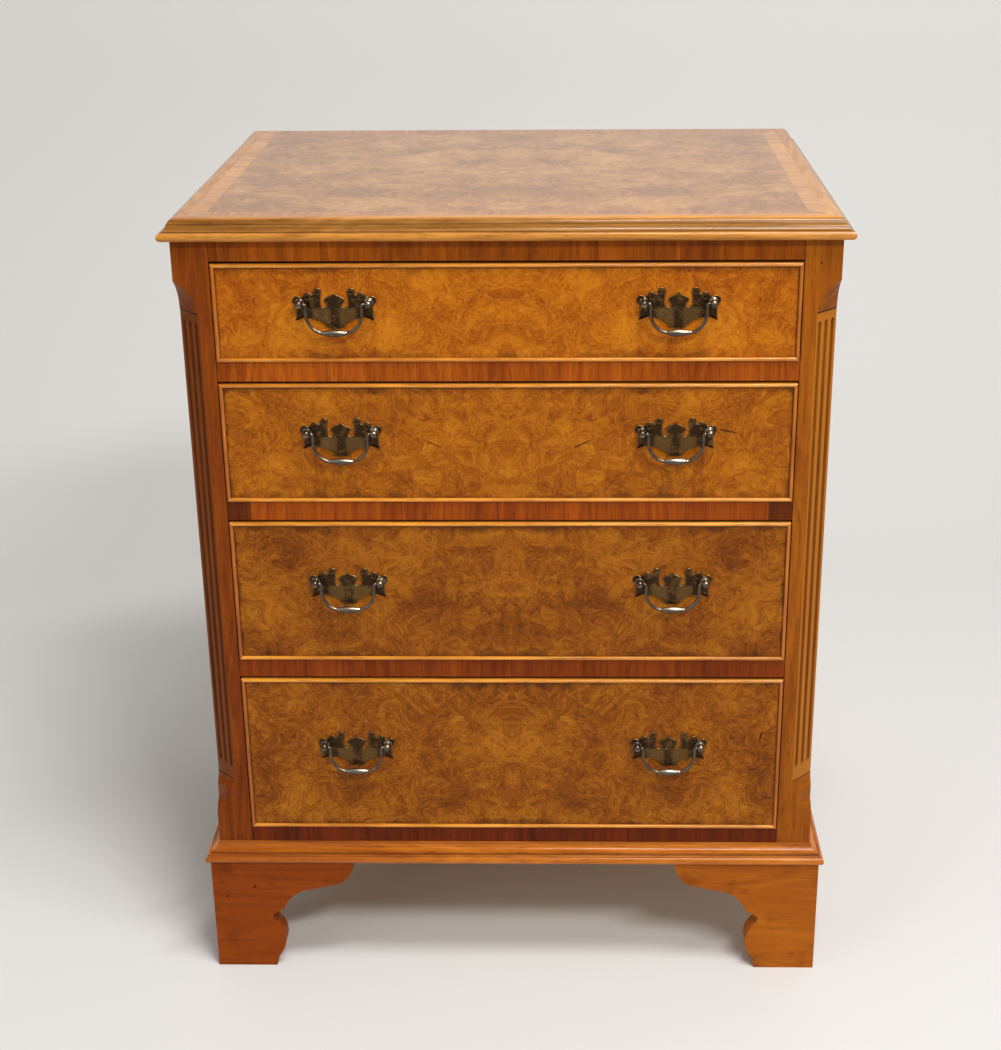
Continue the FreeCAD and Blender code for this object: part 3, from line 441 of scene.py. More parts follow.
def rail_veneer(rail, dark, light):
    """Crossbanding: short upright grain, dark with old wax in the joints at its ends, and with a
    painted shade along its lower edge over the drawer's gap.
    """
    material, tree, shader = new_material(f"crossbanding_{rail}")
    colour, pore = crossband(tree, coordinates(tree), "X", "Z", dark, light)
    x, _, z = split(tree, coordinates(tree))
    out = calc(tree, "ABSOLUTE", x)
    if rail == PATCHED_RAIL:
        seam = POST_INSIDE - PATCH_LENGTH
        patch = fade(tree, out, seam - 0.3 * MM, seam, 0, 0.75)
        colour = blend(tree, patch, colour, linear("#3c1605"))
    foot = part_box(rail)[0].z
    at_end = fade(tree, out, POST_INSIDE - 1.1 * MM, POST_INSIDE - 0.3 * MM, 0, 0.8)
    # Painted shade along the lower edge, over the gap above the drawer; the ends are the dark
    # joints at the posts.
    wax = calc(tree, "MAXIMUM", at_end, fade(tree, z, foot + 0.3 * MM, foot + 1.2 * MM, 0.9, 0))
    plug(shader, {"Base Color": blend(tree, wax, colour, linear("#1c0a03"))})
    polish(shader, 0.36, 0.07)
    return material


def edge_front_or_back(face):
    """The place of a face's material: 0 for an edge, 1 for the front, 2 for the back."""
    if abs(face.normal.y) < 0.9:
        return 0
    return 1 if face.normal.y < 0 else 2


for name, dark, light in (
        ("frieze_rail", "#6c3005", "#a85408"), ("drawer_rail_1", "#7a3206", "#b3590c"),
        ("drawer_rail_2", "#702c06", "#a84e08"), ("drawer_rail_3", "#5e2304", "#8f3e07"),
        ("bottom_rail", "#4a1a04", "#782c06")):
    faced = [stained_and_shaded_edge, rail_veneer(name, dark, light), lining_along["X"]]
    refinish(name, "carcase", faced, edge_front_or_back, 0.3 * MM)


# -------------------------------- inside of the carcase
# Bottom, back, runners, kickers, stops and glue blocks are of plain sawn pine, never
# polished. The back is held with square cut nails.

def finish_node(node, material):
    """The CAD node itself, with a material of the scene's."""
    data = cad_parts[node].data
    data.materials.clear()
    data.materials.append(material)


for name, grain in (("back_panel", "X"), ("back_rail", "X"), ("bottom_board", "X"),
                    ("drawer_runners", "Y"), ("drawer_kickers", "Y"), ("drawer_stops", "X"),
                    ("foot_blocks", "Z")):
    finish_node(name, lining_along[grain])

# Black scale that shines a little, gone to dull brown rust in patches.
iron, tree, shader = new_material("forged_iron_black_with_rust")
rust = noise(tree, coordinates(tree), 1.5 * MM, 4, 0.65)[0]
plug(shader, {
    "Base Color": blend(tree, fade(tree, rust, 0.48, 0.62), linear("#3b3733"), linear("#6a3d22")),
    "Metallic": fade(tree, rust, 0.45, 0.6, 0.85, 0.25),
    "Roughness": fade(tree, rust, 0.45, 0.6, 0.45, 0.8)})
finish_node("back_nails", iron)


# -------------------------------- top
# A veneered board: book-matched burr walnut inside a crossbanded border. A solid walnut
# moulding is glued round its front and sides, mitred at the corners.

BURR_CLOUD = 55 * MM         # light and dark clouds in a leaf
BURR_DRIFT = 45 * MM         # slow bends of the whole figure
BURR_BAND = 24 * MM          # bands of fine lines round the clouds
BURR_CURL = 14 * MM          # tight bends of the grain
BURR_FIGURE = 11 * MM        # curled marks
BURR_EYE = 9 * MM            # from one small dark eye to the next
BURR_FLECK = 2.8 * MM        # short flecks in the marks
BURR_GRIT = 1.3 * MM         # end grain of the burrs, drawn coarser than it is
LINES_IN_BAND = 13           # from the dark of one band to its light
WIDE_BEND, TIGHT_BEND = 55 * MM, 16 * MM     # how far the bends push the figure


def burr(tree, place, dark, middle, light, crisp=1.0):
    """Burr walnut: clouds, and in them curls of grain round clusters of small dark eyes."""
    drift = noise(tree, place, BURR_DRIFT, 2)["Color"]
    bent = add(tree, "ShaderNodeVectorMath", {0: drift, 1: [WIDE_BEND] * 3, 2: place},
               operation="MULTIPLY_ADD").outputs[0]
    curl = noise(tree, bent, BURR_CURL, 2)["Color"]
    curled = add(tree, "ShaderNodeVectorMath", {0: curl, 1: [TIGHT_BEND] * 3, 2: bent},
                 operation="MULTIPLY_ADD").outputs[0]
    cloud = noise(tree, bent, BURR_CLOUD, 4, 0.55)[0]
    figure = noise(tree, curled, BURR_FIGURE, 6, 0.66, 0.5)[0]
    fleck = noise(tree, curled, BURR_FLECK, 4, 0.75)[0]
    grit = noise(tree, place, BURR_GRIT, 3, 0.7)[0]
    band = noise(tree, curled, BURR_BAND, 3)[0]
    lines = calc(tree, "PINGPONG", calc(tree, "MULTIPLY", band, LINES_IN_BAND), 1)
    eye = add(tree, "ShaderNodeTexVoronoi", {
        "Vector": curled, "Scale": 1 / BURR_EYE}).outputs["Distance"]
    pupil = calc(tree, "MULTIPLY", fade(tree, eye, 0.1, 0.3, 1, 0), fade(tree, cloud, 0.52, 0.4))
    tone = calc(tree, "MULTIPLY", cloud, 0.95)
    tone = calc(tree, "MULTIPLY_ADD", figure, 1.0, tone)
    tone = calc(tree, "MULTIPLY_ADD", calc(tree, "SUBTRACT", fleck, 0.5), 1.15 * crisp, tone)
    tone = calc(tree, "MULTIPLY_ADD", calc(tree, "SUBTRACT", grit, 0.5), 0.5 * crisp, tone)
    tone = calc(tree, "MULTIPLY_ADD", lines, 0.08, tone)
    tone = calc(tree, "MULTIPLY_ADD", pupil, -0.28, tone)
    low = blend(tree, fade(tree, tone, 0.66, 1.02, kind="LINEAR"), linear(dark), linear(middle))
    return blend(tree, fade(tree, tone, 0.98, 1.34, kind="LINEAR"), low, linear(light))


def mirrored(tree, shift):
    """Leaves opened like a book: one side of the middle is the mirror image of the other."""
    x, y, z = split(tree, coordinates(tree))
    folded = add(tree, "ShaderNodeCombineXYZ", {
        0: calc(tree, "ABSOLUTE", x), 1: y, 2: z}).outputs[0]
    return add(tree, "ShaderNodeVectorMath", {0: folded, 1: shift}, operation="ADD").outputs[0]


TOP_ARRIS = 4.5 * MM         # the veneer stops this far inside the carcase's sides
BAND_WIDTH = 26 * MM         # the crossbanded border
CHEST_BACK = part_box("side_panel_right")[1][1]
# Paler and greyer than the fronts, bleached by light, under a full gloss that mirrors it.
top_veneer, tree, shader = new_material("burr_walnut_top")
x, y, z = split(tree, coordinates(tree))
from_side = calc(tree, "SUBTRACT", POST_SIDE - TOP_ARRIS, calc(tree, "ABSOLUTE", x))
from_end = calc(tree, "MINIMUM", calc(tree, "SUBTRACT", y, POST_FRONT + TOP_ARRIS),
                calc(tree, "SUBTRACT", CHEST_BACK, y))
field = burr(tree, mirrored(tree, (0.31, 0.12, 0.2)), "#70421a", "#9c6428", "#bf8c4a", 0.5)
side_band = crossband(tree, coordinates(tree), "Y", "X", "#a5611f", "#d69846")[0]
end_band = crossband(tree, coordinates(tree), "X", "Y", "#8d4f1d", "#bf7f3a")[0]
on_side = calc(tree, "LESS_THAN", from_side, from_end)
band = blend(tree, on_side, end_band, side_band)
nearest = calc(tree, "MINIMUM", from_side, from_end)
on_band = calc(tree, "LESS_THAN", nearest, BAND_WIDTH)
veneered = blend(tree, on_band, field, band)
mitre = calc(tree, "MAXIMUM", calc(tree, "SUBTRACT", nearest, BAND_WIDTH),
             gap(tree, from_side, from_end))
seam = calc(tree, "MINIMUM", gap(tree, nearest, BAND_WIDTH), mitre)
joint = fade(tree, seam, 0.1 * MM, 0.5 * MM, 0.35, 0)
plug(shader, {"Base Color": blend(tree, joint, veneered, linear("#3d1c09"))})
polish(shader, 0.3, 0.5, 0.2)
refinish("top_panel", "carcase", [lining_along["X"], top_veneer],
         lambda face: int(face.normal.z > 0.9), 0.1 * MM)


def arc(start, stop, bulge, steps=10):
    """The points of an arc, but for its last. The bulge is the tangent of a quarter of its
    turn, and above zero where it turns counter-clockwise."""
    if not bulge:
        return [start]
    (x0, z0), (x1, z1) = start, stop
    lean = (1 - bulge ** 2) / (4 * bulge)
    cx, cz = (x0 + x1) / 2 - (z1 - z0) * lean, (z0 + z1) / 2 + (x1 - x0) * lean
    turns = [4 * atan(bulge) * step / steps for step in range(steps)]
    return [(cx + (x0 - cx) * cos(t) - (z0 - cz) * sin(t),
             cz + (x0 - cx) * sin(t) + (z0 - cz) * cos(t)) for t in turns]


def outline(corners, steps=10):
    """A closed outline through corners (x, z[, bulge of the span that starts there])."""
    points = []
    for (x0, z0, *bulge), (x1, z1, *_) in zip(corners, corners[1:] + corners[:1]):
        points += arc((x0, z0), (x1, z1), bulge[0] if bulge else 0, steps)
    return points


def strip(mesh, profile, place_start, place_stop, material):
    """The faces, ends first, of a strip of one section between two mitred ends. Each end is
    given by a function that puts a point of the section there."""
    ends = [[mesh.verts.new(place(*point)) for point in profile]
            for place in (place_start, place_stop)]
    faces = [mesh.faces.new(ends[0]), mesh.faces.new(ends[1])]
    for i in range(-1, len(profile) - 1):
        faces.append(mesh.faces.new((ends[0][i], ends[0][i + 1], ends[1][i + 1], ends[1][i])))
    for face in faces:
        face.material_index = material
    return faces


def built_object(name, build, *materials):
    """An object of the mesh that a function builds, with every face turned outward."""
    mesh = bmesh.new()
    build(mesh)
    bmesh.ops.recalc_face_normals(mesh, faces=mesh.faces)
    data = bpy.data.meshes.new(name)
    mesh.to_mesh(data)
    mesh.free()
    return new_object(name, data, *materials)


def moulding(node, corners, quirks, front, side):
    """A moulding along the front and sides. Corners are (out from the carcase, level) in mm,
    and quirks are (out, level, reach, depth) of the painted shade and dark wax in its hollows."""
    profile = [(out * MM, z * MM) for out, z in outline(corners)]

    def corner(side, back):
        """Where the section stands at a front corner or at a back end."""
        def place(out, z):
            y = CHEST_BACK if back else POST_FRONT - out
            return side * (POST_SIDE + out), y, z

        return place

    def build(mesh):
        layer = mesh.verts.layers.float.new("hollow")
        strip(mesh, profile, corner(-1, True), corner(-1, False), 1)
        strip(mesh, profile, corner(-1, False), corner(1, False), 0)
        strip(mesh, profile, corner(1, False), corner(1, True), 1)
        # Painted shade, with some dark wax, grows towards each quirk.
        for vert in mesh.verts:
            out = max(abs(vert.co.x) - POST_SIDE, POST_FRONT - vert.co.y) / MM
            for quirk_out, quirk_z, reach, depth in quirks:
                away = ((out - quirk_out) ** 2 + (vert.co.z / MM - quirk_z) ** 2) ** 0.5
                vert[layer] = max(vert[layer], depth * max(0, 1 - away / reach))

    piece = built_object(node + "_walnut", build, front, side)
    ease(piece, 0.25 * MM)
    fit(piece, node, "carcase")


# Golden walnut under a fair gloss, even over the whole moulding.
moulding_walnut = [walnut(f"walnut_moulding_{grain.lower()}", grain, "#945614", "#cc8a38",
                          0.26, 0.45, sheen=0.1)
                   for grain in "XY"]
HEAD = 800                   # upper face of the top
moulding("top_moulding", [
    (-14.5, HEAD - 19.5), (5.7, HEAD - 19.5, 1), (5.7, HEAD - 10.9), (6, HEAD - 10.9, -0.25),
    (1.8, HEAD - 4.8), (1.3, HEAD - 4.1, 0.3), (-4.5, HEAD), (-14.5, HEAD)],
    [(6, HEAD - 10.9, 2.2, 0.9), (1.5, HEAD - 4.6, 1.6, 0.9), (3.4, HEAD - 7.6, 6, 0.6),
     (0, HEAD - 2.4, 3.6, 0.6)],
    *moulding_walnut)


# -------------------------------- base moulding
# Solid walnut, glued and sprigged round the foot of the carcase: a bold torus, then a quirk
# and fillet, and a hollow that runs up to a thin lip.

# Orange walnut with a high polish, redder towards its left end.
base_walnut = [walnut(f"walnut_base_moulding_{grain.lower()}", grain, "#9e500c", "#d87f20",
                      0.24, 0.45, sheen=0.08)
               for grain in "XY"]


def left_end(tree):
    """A share that grows towards the left end of the front length."""
    x = split(tree, coordinates(tree))[0]
    return fade(tree, x, -300 * MM, 60 * MM, 0.4, 0)


tint(base_walnut[0], left_end, "#7a2f06")
moulding("base_moulding", [
    (0, 128), (9.8, 128, 1), (9.8, 136.4), (11.4, 136.4), (11.4, 137.8), (8.6, 137.8),
    (7.8, 140.4, -0.36), (1.5, 146.4), (1.5, 148), (0, 148)],
    [(9.8, 136.6, 1.8, 0.9), (8.6, 138.2, 2, 0.85), (1.5, 147, 1.6, 0.5)], *base_walnut)


# -------------------------------- bracket feet
# Brackets sawn from solid walnut with their grain level, mitred at the front corners and
# glued to blocks behind.

def smudges(tree):
    """Patches that boots and brooms have left."""
    return fade(tree, noise(tree, coordinates(tree), 34 * MM, 5, 0.62)[0], 0.5, 0.72, 0, 0.45)


# Level grain with few pores, and dull dark smudges. The left feet are darker, partly in their
# own wood and partly as painted shade on the side away from the lamps.
foot_walnut = {}
for side, dark, light in (("left", "#753005", "#9a4608"), ("right", "#8c420a", "#b76614")):
    foot_walnut[side] = [walnut(f"walnut_foot_{side}_{grain.lower()}", grain, dark, light,
                                contrast=0.6, pores=0.15)
                         for grain in "XY"]
for material in foot_walnut["left"] + foot_walnut["right"]:
    tint(material, smudges, "#4a1c06")
blemish(foot_walnut["left"][0], -270, 98, 3, 2)
blemish(foot_walnut["left"][0], -300, 86, 2.5, 1.6, 30)
BRACKET = 20 * MM            # thickness of the side brackets
for name in ("front_left", "front_right", "rear_left", "rear_right"):
    low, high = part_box(f"foot_{name}")

    def runs_back(face):
        """Whether a face belongs to the side bracket, whose grain runs front to back."""
        middle = face.calc_center_median() - face.normal * 0.2 * MM
        inward = middle.x - low.x if low.x < 0 else high.x - middle.x
        return int(inward < (middle.y - low.y if name.startswith("front") else BRACKET))

    brackets = foot_walnut[name.split("_")[1]]
    refinish(f"foot_{name}", "carcase", brackets, runs_back, 0.3 * MM, apart=True)


# -------------------------------- drawers
# Pine boxes, dovetailed at the corners, with a floor slid into grooves. The fronts are
# veneered with book-matched burr walnut, darkened by old wax along the cock beads, with a
# painted shade just inside the top and side beads.

DRAWERS = (1, 2, 3, 4)       # from the top down
BEAD = 3.5 * MM              # width of the cock bead round a front
BEAD_WAX_AND_SHADE = "#3a1b08"         # dirt and wax held along the beads, and the painted shade that they cast
WAX_PATCH = 30 * MM          # patches in its ragged edge
WAX_RAGGED, WAX_BACK = 44 * MM, 20 * MM      # how far the edge strays, and from where


def drawer_veneer(number, dark, middle, light, shift, wax, flaws):
    """Burr walnut, clouded and deep red-brown, darker with old wax towards its edges and with a
    painted shade line inside the beads.
    """
    material, tree, shader = new_material(f"burr_walnut_drawer_{number}")
    low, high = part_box(f"drawer_{number}_front")
    x, _, z = split(tree, coordinates(tree))
    place = mirrored(tree, shift)
    colour = burr(tree, place, dark, middle, light)
    across = calc(tree, "SUBTRACT", high.x - BEAD, calc(tree, "ABSOLUTE", x))
    upright = calc(tree, "SUBTRACT", (high.z - low.z) / 2 - BEAD,
                   gap(tree, z, (low.z + high.z) / 2))
    inward = calc(tree, "MINIMUM", calc(tree, "MULTIPLY", across, 2.2), upright)
    ragged = noise(tree, place, WAX_PATCH, 6, 0.68)[0]
    inward = calc(tree, "MULTIPLY_ADD", ragged, WAX_RAGGED,
                  calc(tree, "SUBTRACT", inward, WAX_BACK))
    colour = blend(tree, fade(tree, inward, -1 * MM, 9 * MM, wax, 0), colour, linear(BEAD_WAX_AND_SHADE))
    # Painted shade: a dark line just inside the top and side beads, partly deepened by wax.
    line = calc(tree, "MINIMUM", across, calc(tree, "SUBTRACT", high.z - BEAD, z))
    colour = blend(tree, fade(tree, line, 0.5 * MM, 1.5 * MM, 0.6, 0), colour, linear(BEAD_WAX_AND_SHADE))
    plug(shader, {"Base Color": colour})
    polish(shader, 0.33, 0.1)
    for flaw in flaws:
        blemish(material, *flaw)
    return material


# The fronts grow darker from the top drawer down: partly their own tones, partly painted shade for
# the light that falls from above.
for number, dark, middle, light, shift, wax, flaws in (
        (1, "#843a08", "#a45809", "#c07414", (0.13, 0.3, 0.02), 0.4, []),
        (2, "#743608", "#985208", "#b66e12", (0.26, 0.7, 0.04), 0.6,
         [(-72, 585, 13, 0.9, -64), (71, 585, 14, 1.1, 64), (207, 597, 13, 1.3, -78)]),
        (3, "#602e06", "#864608", "#a66412", (0.39, 1.1, 0.06), 0.65, []),
        (4, "#622f06", "#884808", "#aa6814", (0.52, 1.5, 0.08), 0.65,
         [(250, 272, 7, 2, 12), (243, 234, 1.1, 6, -8)])):
    body = f"drawer_{number}"
    veneer = drawer_veneer(number, dark, middle, light, shift, wax, flaws)
    refinish(f"{body}_front", body, [stained_and_shaded_edge, veneer, lining_along["X"]],
             edge_front_or_back, 0.1 * MM)
    finish_node(f"{body}_sides", lining_along["Y"])
    finish_node(f"{body}_back", lining_along["X"])
    finish_node(f"{body}_bottom", lining_along["X"])


# -------------------------------- cock beads
# Thin round-nosed strips of walnut, glued into a rebate along each edge of a drawer front and
# mitred at its corners.

# Glossy walnut: the level strips are painted lighter and more golden, for the light from above
# that their upper sides catch; the upright strips are darker and redder.
beading = [walnut("walnut_bead_x", "X", "#a65d14", "#e89a34", 0.22, 0.8, sheen=0.1),
           walnut("walnut_bead_z", "Z", "#8b450d", "#c2701e", 0.22, 0.6, sheen=0.06)]
ROUND_THE_FRONT = [(-1, -1), (1, -1), (1, 1), (-1, 1)]


def cock_bead(body):
    """The four strips round a drawer's front."""
    low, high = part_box(f"{body}_cock_bead")
    nose = POST_FRONT - low.y - BEAD / 2
    section = outline([(0, -nose, 1), (BEAD, -nose), (BEAD, high.y - POST_FRONT),
                       (0, high.y - POST_FRONT)], 12)

    def corner(side, end):
        """Where the section, given from the outer edge inward, stands at a corner."""
        def place(inset, back):
            return (side * (high.x - inset), POST_FRONT + back,
                    low.z + inset if end < 0 else high.z - inset)

        return place

    def build(mesh):
        for i in range(4):
            strip(mesh, section, corner(*ROUND_THE_FRONT[i - 1]), corner(*ROUND_THE_FRONT[i]),
                  1 - i % 2)

    bead = built_object(f"{body}_cock_bead_strips", build, *beading)
    ease(bead, 0.15 * MM)
    fit(bead, f"{body}_cock_bead", body)


for number in DRAWERS:
    cock_bead(f"drawer_{number}")


# -------------------------------- backplates
# Scrolled plates of sheet brass with filed edges, engraved with feathers on the swags and
# rings in the scrolls. Lacquered dark, with the brass showing on the edges and in the cuts.

PLATE_THICK, PLATE_HALF = 1.2, 38.8          # in mm, as all the sizes of the handles are
PLATE_TOP, PLATE_FOOT = 13.4, -25.1          # above and below the line of the pivots
# The edge of the right half, from its top down: (out, level, bulge to the next corner).
HALF_PLATE = [
    (0, 8.4, 0.1), (3.6, 5.9, -0.12), (9.3, 2.7, -0.35), (8.8, 0.2, 0.05), (6.6, -4.2, 0.5),
    (12.5, -3.4, 0.06), (12.03, 7.63, -1.63), (18.97, 7.63, 0.3), (20.95, 6.88, -0.595),
    (28.5, 6.42, 0.3), (30.95, 4.25, -1.045), (37.16, -2.52, 0.3), (35.6, -9, 0.1),
    (36.4, -17.8, 0.12), (28.2, -14.2, -0.2), (22, -15.6, 0.1), (11.6, -19.8, 0.3),
    (8.4, -23.2, -0.25)]
SCROLLS = ((15.5, 9.4, 2.2), (24.6, 4.6, 2.5))   # rings in them: (out, level, radius)
FEATHER = 2.3 * MM           # from one engraved line to the next
FEATHER_SLANT = radians(32)

# Nearly black and glossy where the lacquer is whole, dull gold where it is cut or rubbed.
engraved, tree, shader = new_material("engraved_brass_dark_lacquer")
place = add(tree, "ShaderNodeAttribute", attribute_name="plate_place").outputs["Vector"]
u, _, v = split(tree, place)
u = calc(tree, "ABSOLUTE", u)
across = calc(tree, "SUBTRACT", calc(tree, "MULTIPLY", v, cos(FEATHER_SLANT)),
              calc(tree, "MULTIPLY", u, sin(FEATHER_SLANT)))
line = calc(tree, "PINGPONG", calc(tree, "DIVIDE", across, FEATHER / 2), 1)
swag = calc(tree, "MULTIPLY", fade(tree, u, 25 * MM, 28 * MM, 1, 0),
            fade(tree, v, -7 * MM, -4 * MM, 1, 0))
crest = calc(tree, "MULTIPLY", fade(tree, u, 6 * MM, 8 * MM, 0.7, 0),
             fade(tree, v, -8 * MM, -5 * MM))
patch = noise(tree, coordinates(tree), 7 * MM, 3, 0.6)[0]
cut = calc(tree, "MULTIPLY", fade(tree, line, 0.1, 0.45, 1, 0), calc(tree, "MAXIMUM", swag, crest))
cut = calc(tree, "MULTIPLY", cut, fade(tree, patch, 0.42, 0.56, 0.4, 1))
for out, level, radius in SCROLLS:
    aside = calc(tree, "POWER", calc(tree, "SUBTRACT", u, out * MM), 2.0)
    above = calc(tree, "POWER", calc(tree, "SUBTRACT", v, level * MM), 2.0)
    away = calc(tree, "SQRT", calc(tree, "ADD", aside, above))
    ring = gap(tree, away, radius * MM)
    cut = calc(tree, "MAXIMUM", cut, fade(tree, ring, 0.15 * MM, 0.45 * MM, 1, 0))
worn = add(tree, "ShaderNodeAttribute", attribute_name="worn").outputs["Fac"]
bare = calc(tree, "MAXIMUM", calc(tree, "MULTIPLY", worn, 0.8),
            fade(tree, patch, 0.5, 0.72, 0.05, 0.5))
belly = calc(tree, "MULTIPLY", swag, fade(tree, gap(tree, u, 12 * MM), 6 * MM, 10 * MM, 0.42, 0))
bare = calc(tree, "MAXIMUM", calc(tree, "MAXIMUM", bare, belly), calc(tree, "MULTIPLY", cut, 0.48))
bump = add(tree, "ShaderNodeBump", {"Height": cut, "Strength": 0.7, "Distance": 0.25 * MM},
           invert=True)
plug(shader, {"Base Color": blend(tree, bare, linear("#33241a"), linear("#94703f")),
              "Roughness": fade(tree, patch, 0.4, 0.65, 0.42, 0.3),
              "Metallic": 1.0, "Normal": bump.outputs[0]})


def fitting_tree():
    """Sets a fitting at each marked point, turned about the y axis by the mark's own turn."""
    tree = bpy.data.node_groups.new("set_out_fittings", "GeometryNodeTree")
    for name, kind in (("Marks", "Geometry"), ("Fitting", "Object"), ("Finish", "Material")):
        tree.interface.new_socket(name, in_out="INPUT", socket_type="NodeSocket" + kind)
    tree.interface.new_socket("Fittings", in_out="OUTPUT", socket_type="NodeSocketGeometry")
    given = tree.nodes.new("NodeGroupInput").outputs
    fitting = add(tree, "GeometryNodeObjectInfo", {"Object": given["Fitting"]}).outputs["Geometry"]
    turn = add(tree, "GeometryNodeInputNamedAttribute", {"Name": "turn"},
               data_type="FLOAT").outputs[0]
    euler = add(tree, "ShaderNodeCombineXYZ", {"Y": turn}).outputs[0]
    rotation = add(tree, "FunctionNodeEulerToRotation", {0: euler}).outputs[0]
    placed = add(tree, "GeometryNodeInstanceOnPoints", {
        "Points": given["Marks"], "Instance": fitting, "Rotation": rotation}).outputs[0]
    solid = add(tree, "GeometryNodeRealizeInstances", {0: placed}).outputs[0]
    finished = add(tree, "GeometryNodeSetMaterial", {
        "Geometry": solid, "Material": given["Finish"]}).outputs[0]
    plug(tree.nodes.new("NodeGroupOutput"), {"Fittings": finished})
    return tree


def grown(name, seed, tree, **given):
    """The plain mesh that geometry nodes make from a seed mesh or curve."""
    holder = new_object(name, seed)
    modifier = holder.modifiers.new("nodes", "NODES")
    modifier.node_group = tree
    for socket in tree.interface.items_tree:
        if socket.name.replace(" ", "_").lower() in given:
            modifier[socket.identifier] = given[socket.name.replace(" ", "_").lower()]
    solid = bpy.data.meshes.new_from_object(
        holder.evaluated_get(bpy.context.evaluated_depsgraph_get()))
    bpy.data.objects.remove(holder)
    return solid


def set_out(name, marks, fitting, finish):
    """One piece of several fittings, from marks (x, y, z, turn)."""
    seed = bpy.data.meshes.new(name + "_marks")
    seed.from_pydata([mark[:3] for mark in marks], [], [])
    turn = seed.attributes.new("turn", "FLOAT", "POINT")
    turn.data.foreach_set("value", [mark[3] for mark in marks])
    data = grown(name, seed, fittings, fitting=fitting, finish=finish)
    return new_object(name, data)


fittings = fitting_tree()
half = outline([(x * MM, z * MM, bulge) for x, z, bulge in HALF_PLATE] + [(0, PLATE_FOOT * MM)], 8)
half = half[:half.index((0, PLATE_FOOT * MM)) + 1]
edge = half + [(-x, z) for x, z in half[-2:0:-1]]
mesh = bmesh.new()
worn = mesh.verts.layers.float.new("worn")
face = strip(mesh, edge, lambda x, z: (x, (0.25 - PLATE_THICK) * MM, z), lambda x, z: (x, 0, z),
             0)[0]
face.normal_update()
if face.normal.y > 0:
    face.normal_flip()
for vert in face.verts:
    vert[worn] = 1
for width, rise, wear in ((0.3, 0.25, 0.7), (0.7, 0, 0)):
    bmesh.ops.inset_region(mesh, faces=[face], thickness=width * MM, depth=rise * MM)
    for vert in face.verts:
        vert[worn] = wear
bmesh.ops.triangulate(mesh, faces=[part for part in mesh.faces if len(part.verts) > 4])
bmesh.ops.recalc_face_normals(mesh, faces=mesh.faces)
local = mesh.verts.layers.float_vector.new("plate_place")
for vert in mesh.verts:
    vert[local] = vert.co
plate_data = bpy.data.meshes.new("backplate")
mesh.to_mesh(plate_data)
mesh.free()
plate_data.shade_smooth()
plate_data.set_sharp_from_angle(angle=radians(30))
plate = new_object("backplate", plate_data)


def handles(number):
    """A drawer's body, the level of its handles' pivots and the middle of each handle."""
    body = f"drawer_{number}"
    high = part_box(f"{body}_backplates")[1]
    middle = high.x - PLATE_HALF * MM
    return body, high.z - PLATE_TOP * MM, (-middle, middle)


for number in DRAWERS:
    body, level, middles = handles(number)
    plates = set_out(f"{body}_engraved_plates", [(x, POST_FRONT, level, 0) for x in middles],
                     plate, engraved)
    fit(plates, f"{body}_backplates", body)
bpy.data.objects.remove(plate)


# -------------------------------- handle posts
# Cast brass balls on turned necks and collars, drilled on one side for the bail. Each ends
# in a bolt that passes through the drawer front to a six-sided nut.

# Brown glossy lacquer, with a pale painted highlight on the parts that face up and forward.
rubbed, tree, shader = new_material("rubbed_brass_dark_lacquer")
patch = noise(tree, coordinates(tree), 4 * MM, 3, 0.6)[0]
lacquer = blend(tree, fade(tree, patch, 0.35, 0.65), linear("#44382d"), linear("#5c4e40"))
# The share of painted highlight, read per point.
wear = add(tree, "ShaderNodeAttribute", attribute_name="rubbed").outputs["Fac"]
plug(shader, {"Base Color": blend(tree, wear, lacquer, linear("#b3a58c")), "Roughness": 0.3,
              "Metallic": 1.0, "Coat Weight": 0.5, "Coat Roughness": 0.08})

BALL, COLLAR, BOLT, PIVOT_HOLE = 3.95, 4.4, 1.9, 1.25    # radii
PIVOT_REACH, BORING = 10, 63.5       # from a ball to the drawer's front, and to its fellow


def paint_top_highlight(data, share):
    """Marks how much painted highlight each point takes: most on top and in front, by a share of
    its place.
    """
    values = [max(0, min(1, vert.normal.z * 1.3 - vert.normal.y * 0.3 - 0.25)) * share(vert.co)
              for vert in data.vertices]
    data.attributes.new("rubbed", "FLOAT", "POINT").data.foreach_set("value", values)


def turning(name, section, sides):
    """An object turned about the y axis, from (y, radius) at its front to its back."""
    def build(mesh):
        rings = []
        for y, radius in section:
            ring = [(radius * MM * cos(tau * i / sides), y * MM, radius * MM * sin(tau * i / sides))
                    for i in range(sides if radius else 1)]
            rings.append([mesh.verts.new(place) for place in ring] * (1 if radius else sides))
        for near, far in zip(rings, rings[1:]):
            for i in range(sides):
                corners = [near[i - 1], near[i], far[i], far[i - 1]]
                mesh.faces.new(list(dict.fromkeys(corners)))

    return built_object(name, build)


ball = [(-BALL * cos(radians(turn)), BALL * sin(radians(turn))) for turn in range(0, 144, 9)]
post = turning("handle_post", ball + [
    (3.4, 2.15), (4.6, 1.9), (5.8, 2.1), (6.5, 2.7), (6.8, 3.6), (7.2, 4.3), (7.7, COLLAR),
    (8.3, COLLAR), (8.8, 4.2), (8.8, BOLT), (34.6, BOLT), (35, BOLT - 0.4), (35, 0)], 40)
drill = turning("drill", [(-4.6, 0), (-4.6, PIVOT_HOLE), (0, PIVOT_HOLE), (0, 0)], 24)
drill.data.transform(Matrix.Rotation(-pi / 2, 4, "Z"))
hole = post.modifiers.new("pivot_hole", "BOOLEAN")
hole.object, hole.operation, hole.solver = drill, "DIFFERENCE", "EXACT"
drilled = bpy.data.meshes.new_from_object(post.evaluated_get(bpy.context.evaluated_depsgraph_get()))
post.modifiers.clear()
nut = turning("nut", [(30, 0), (30, 4.6), (32.9, 4.6), (33.5, 4.0), (33.5, 0)], 6)
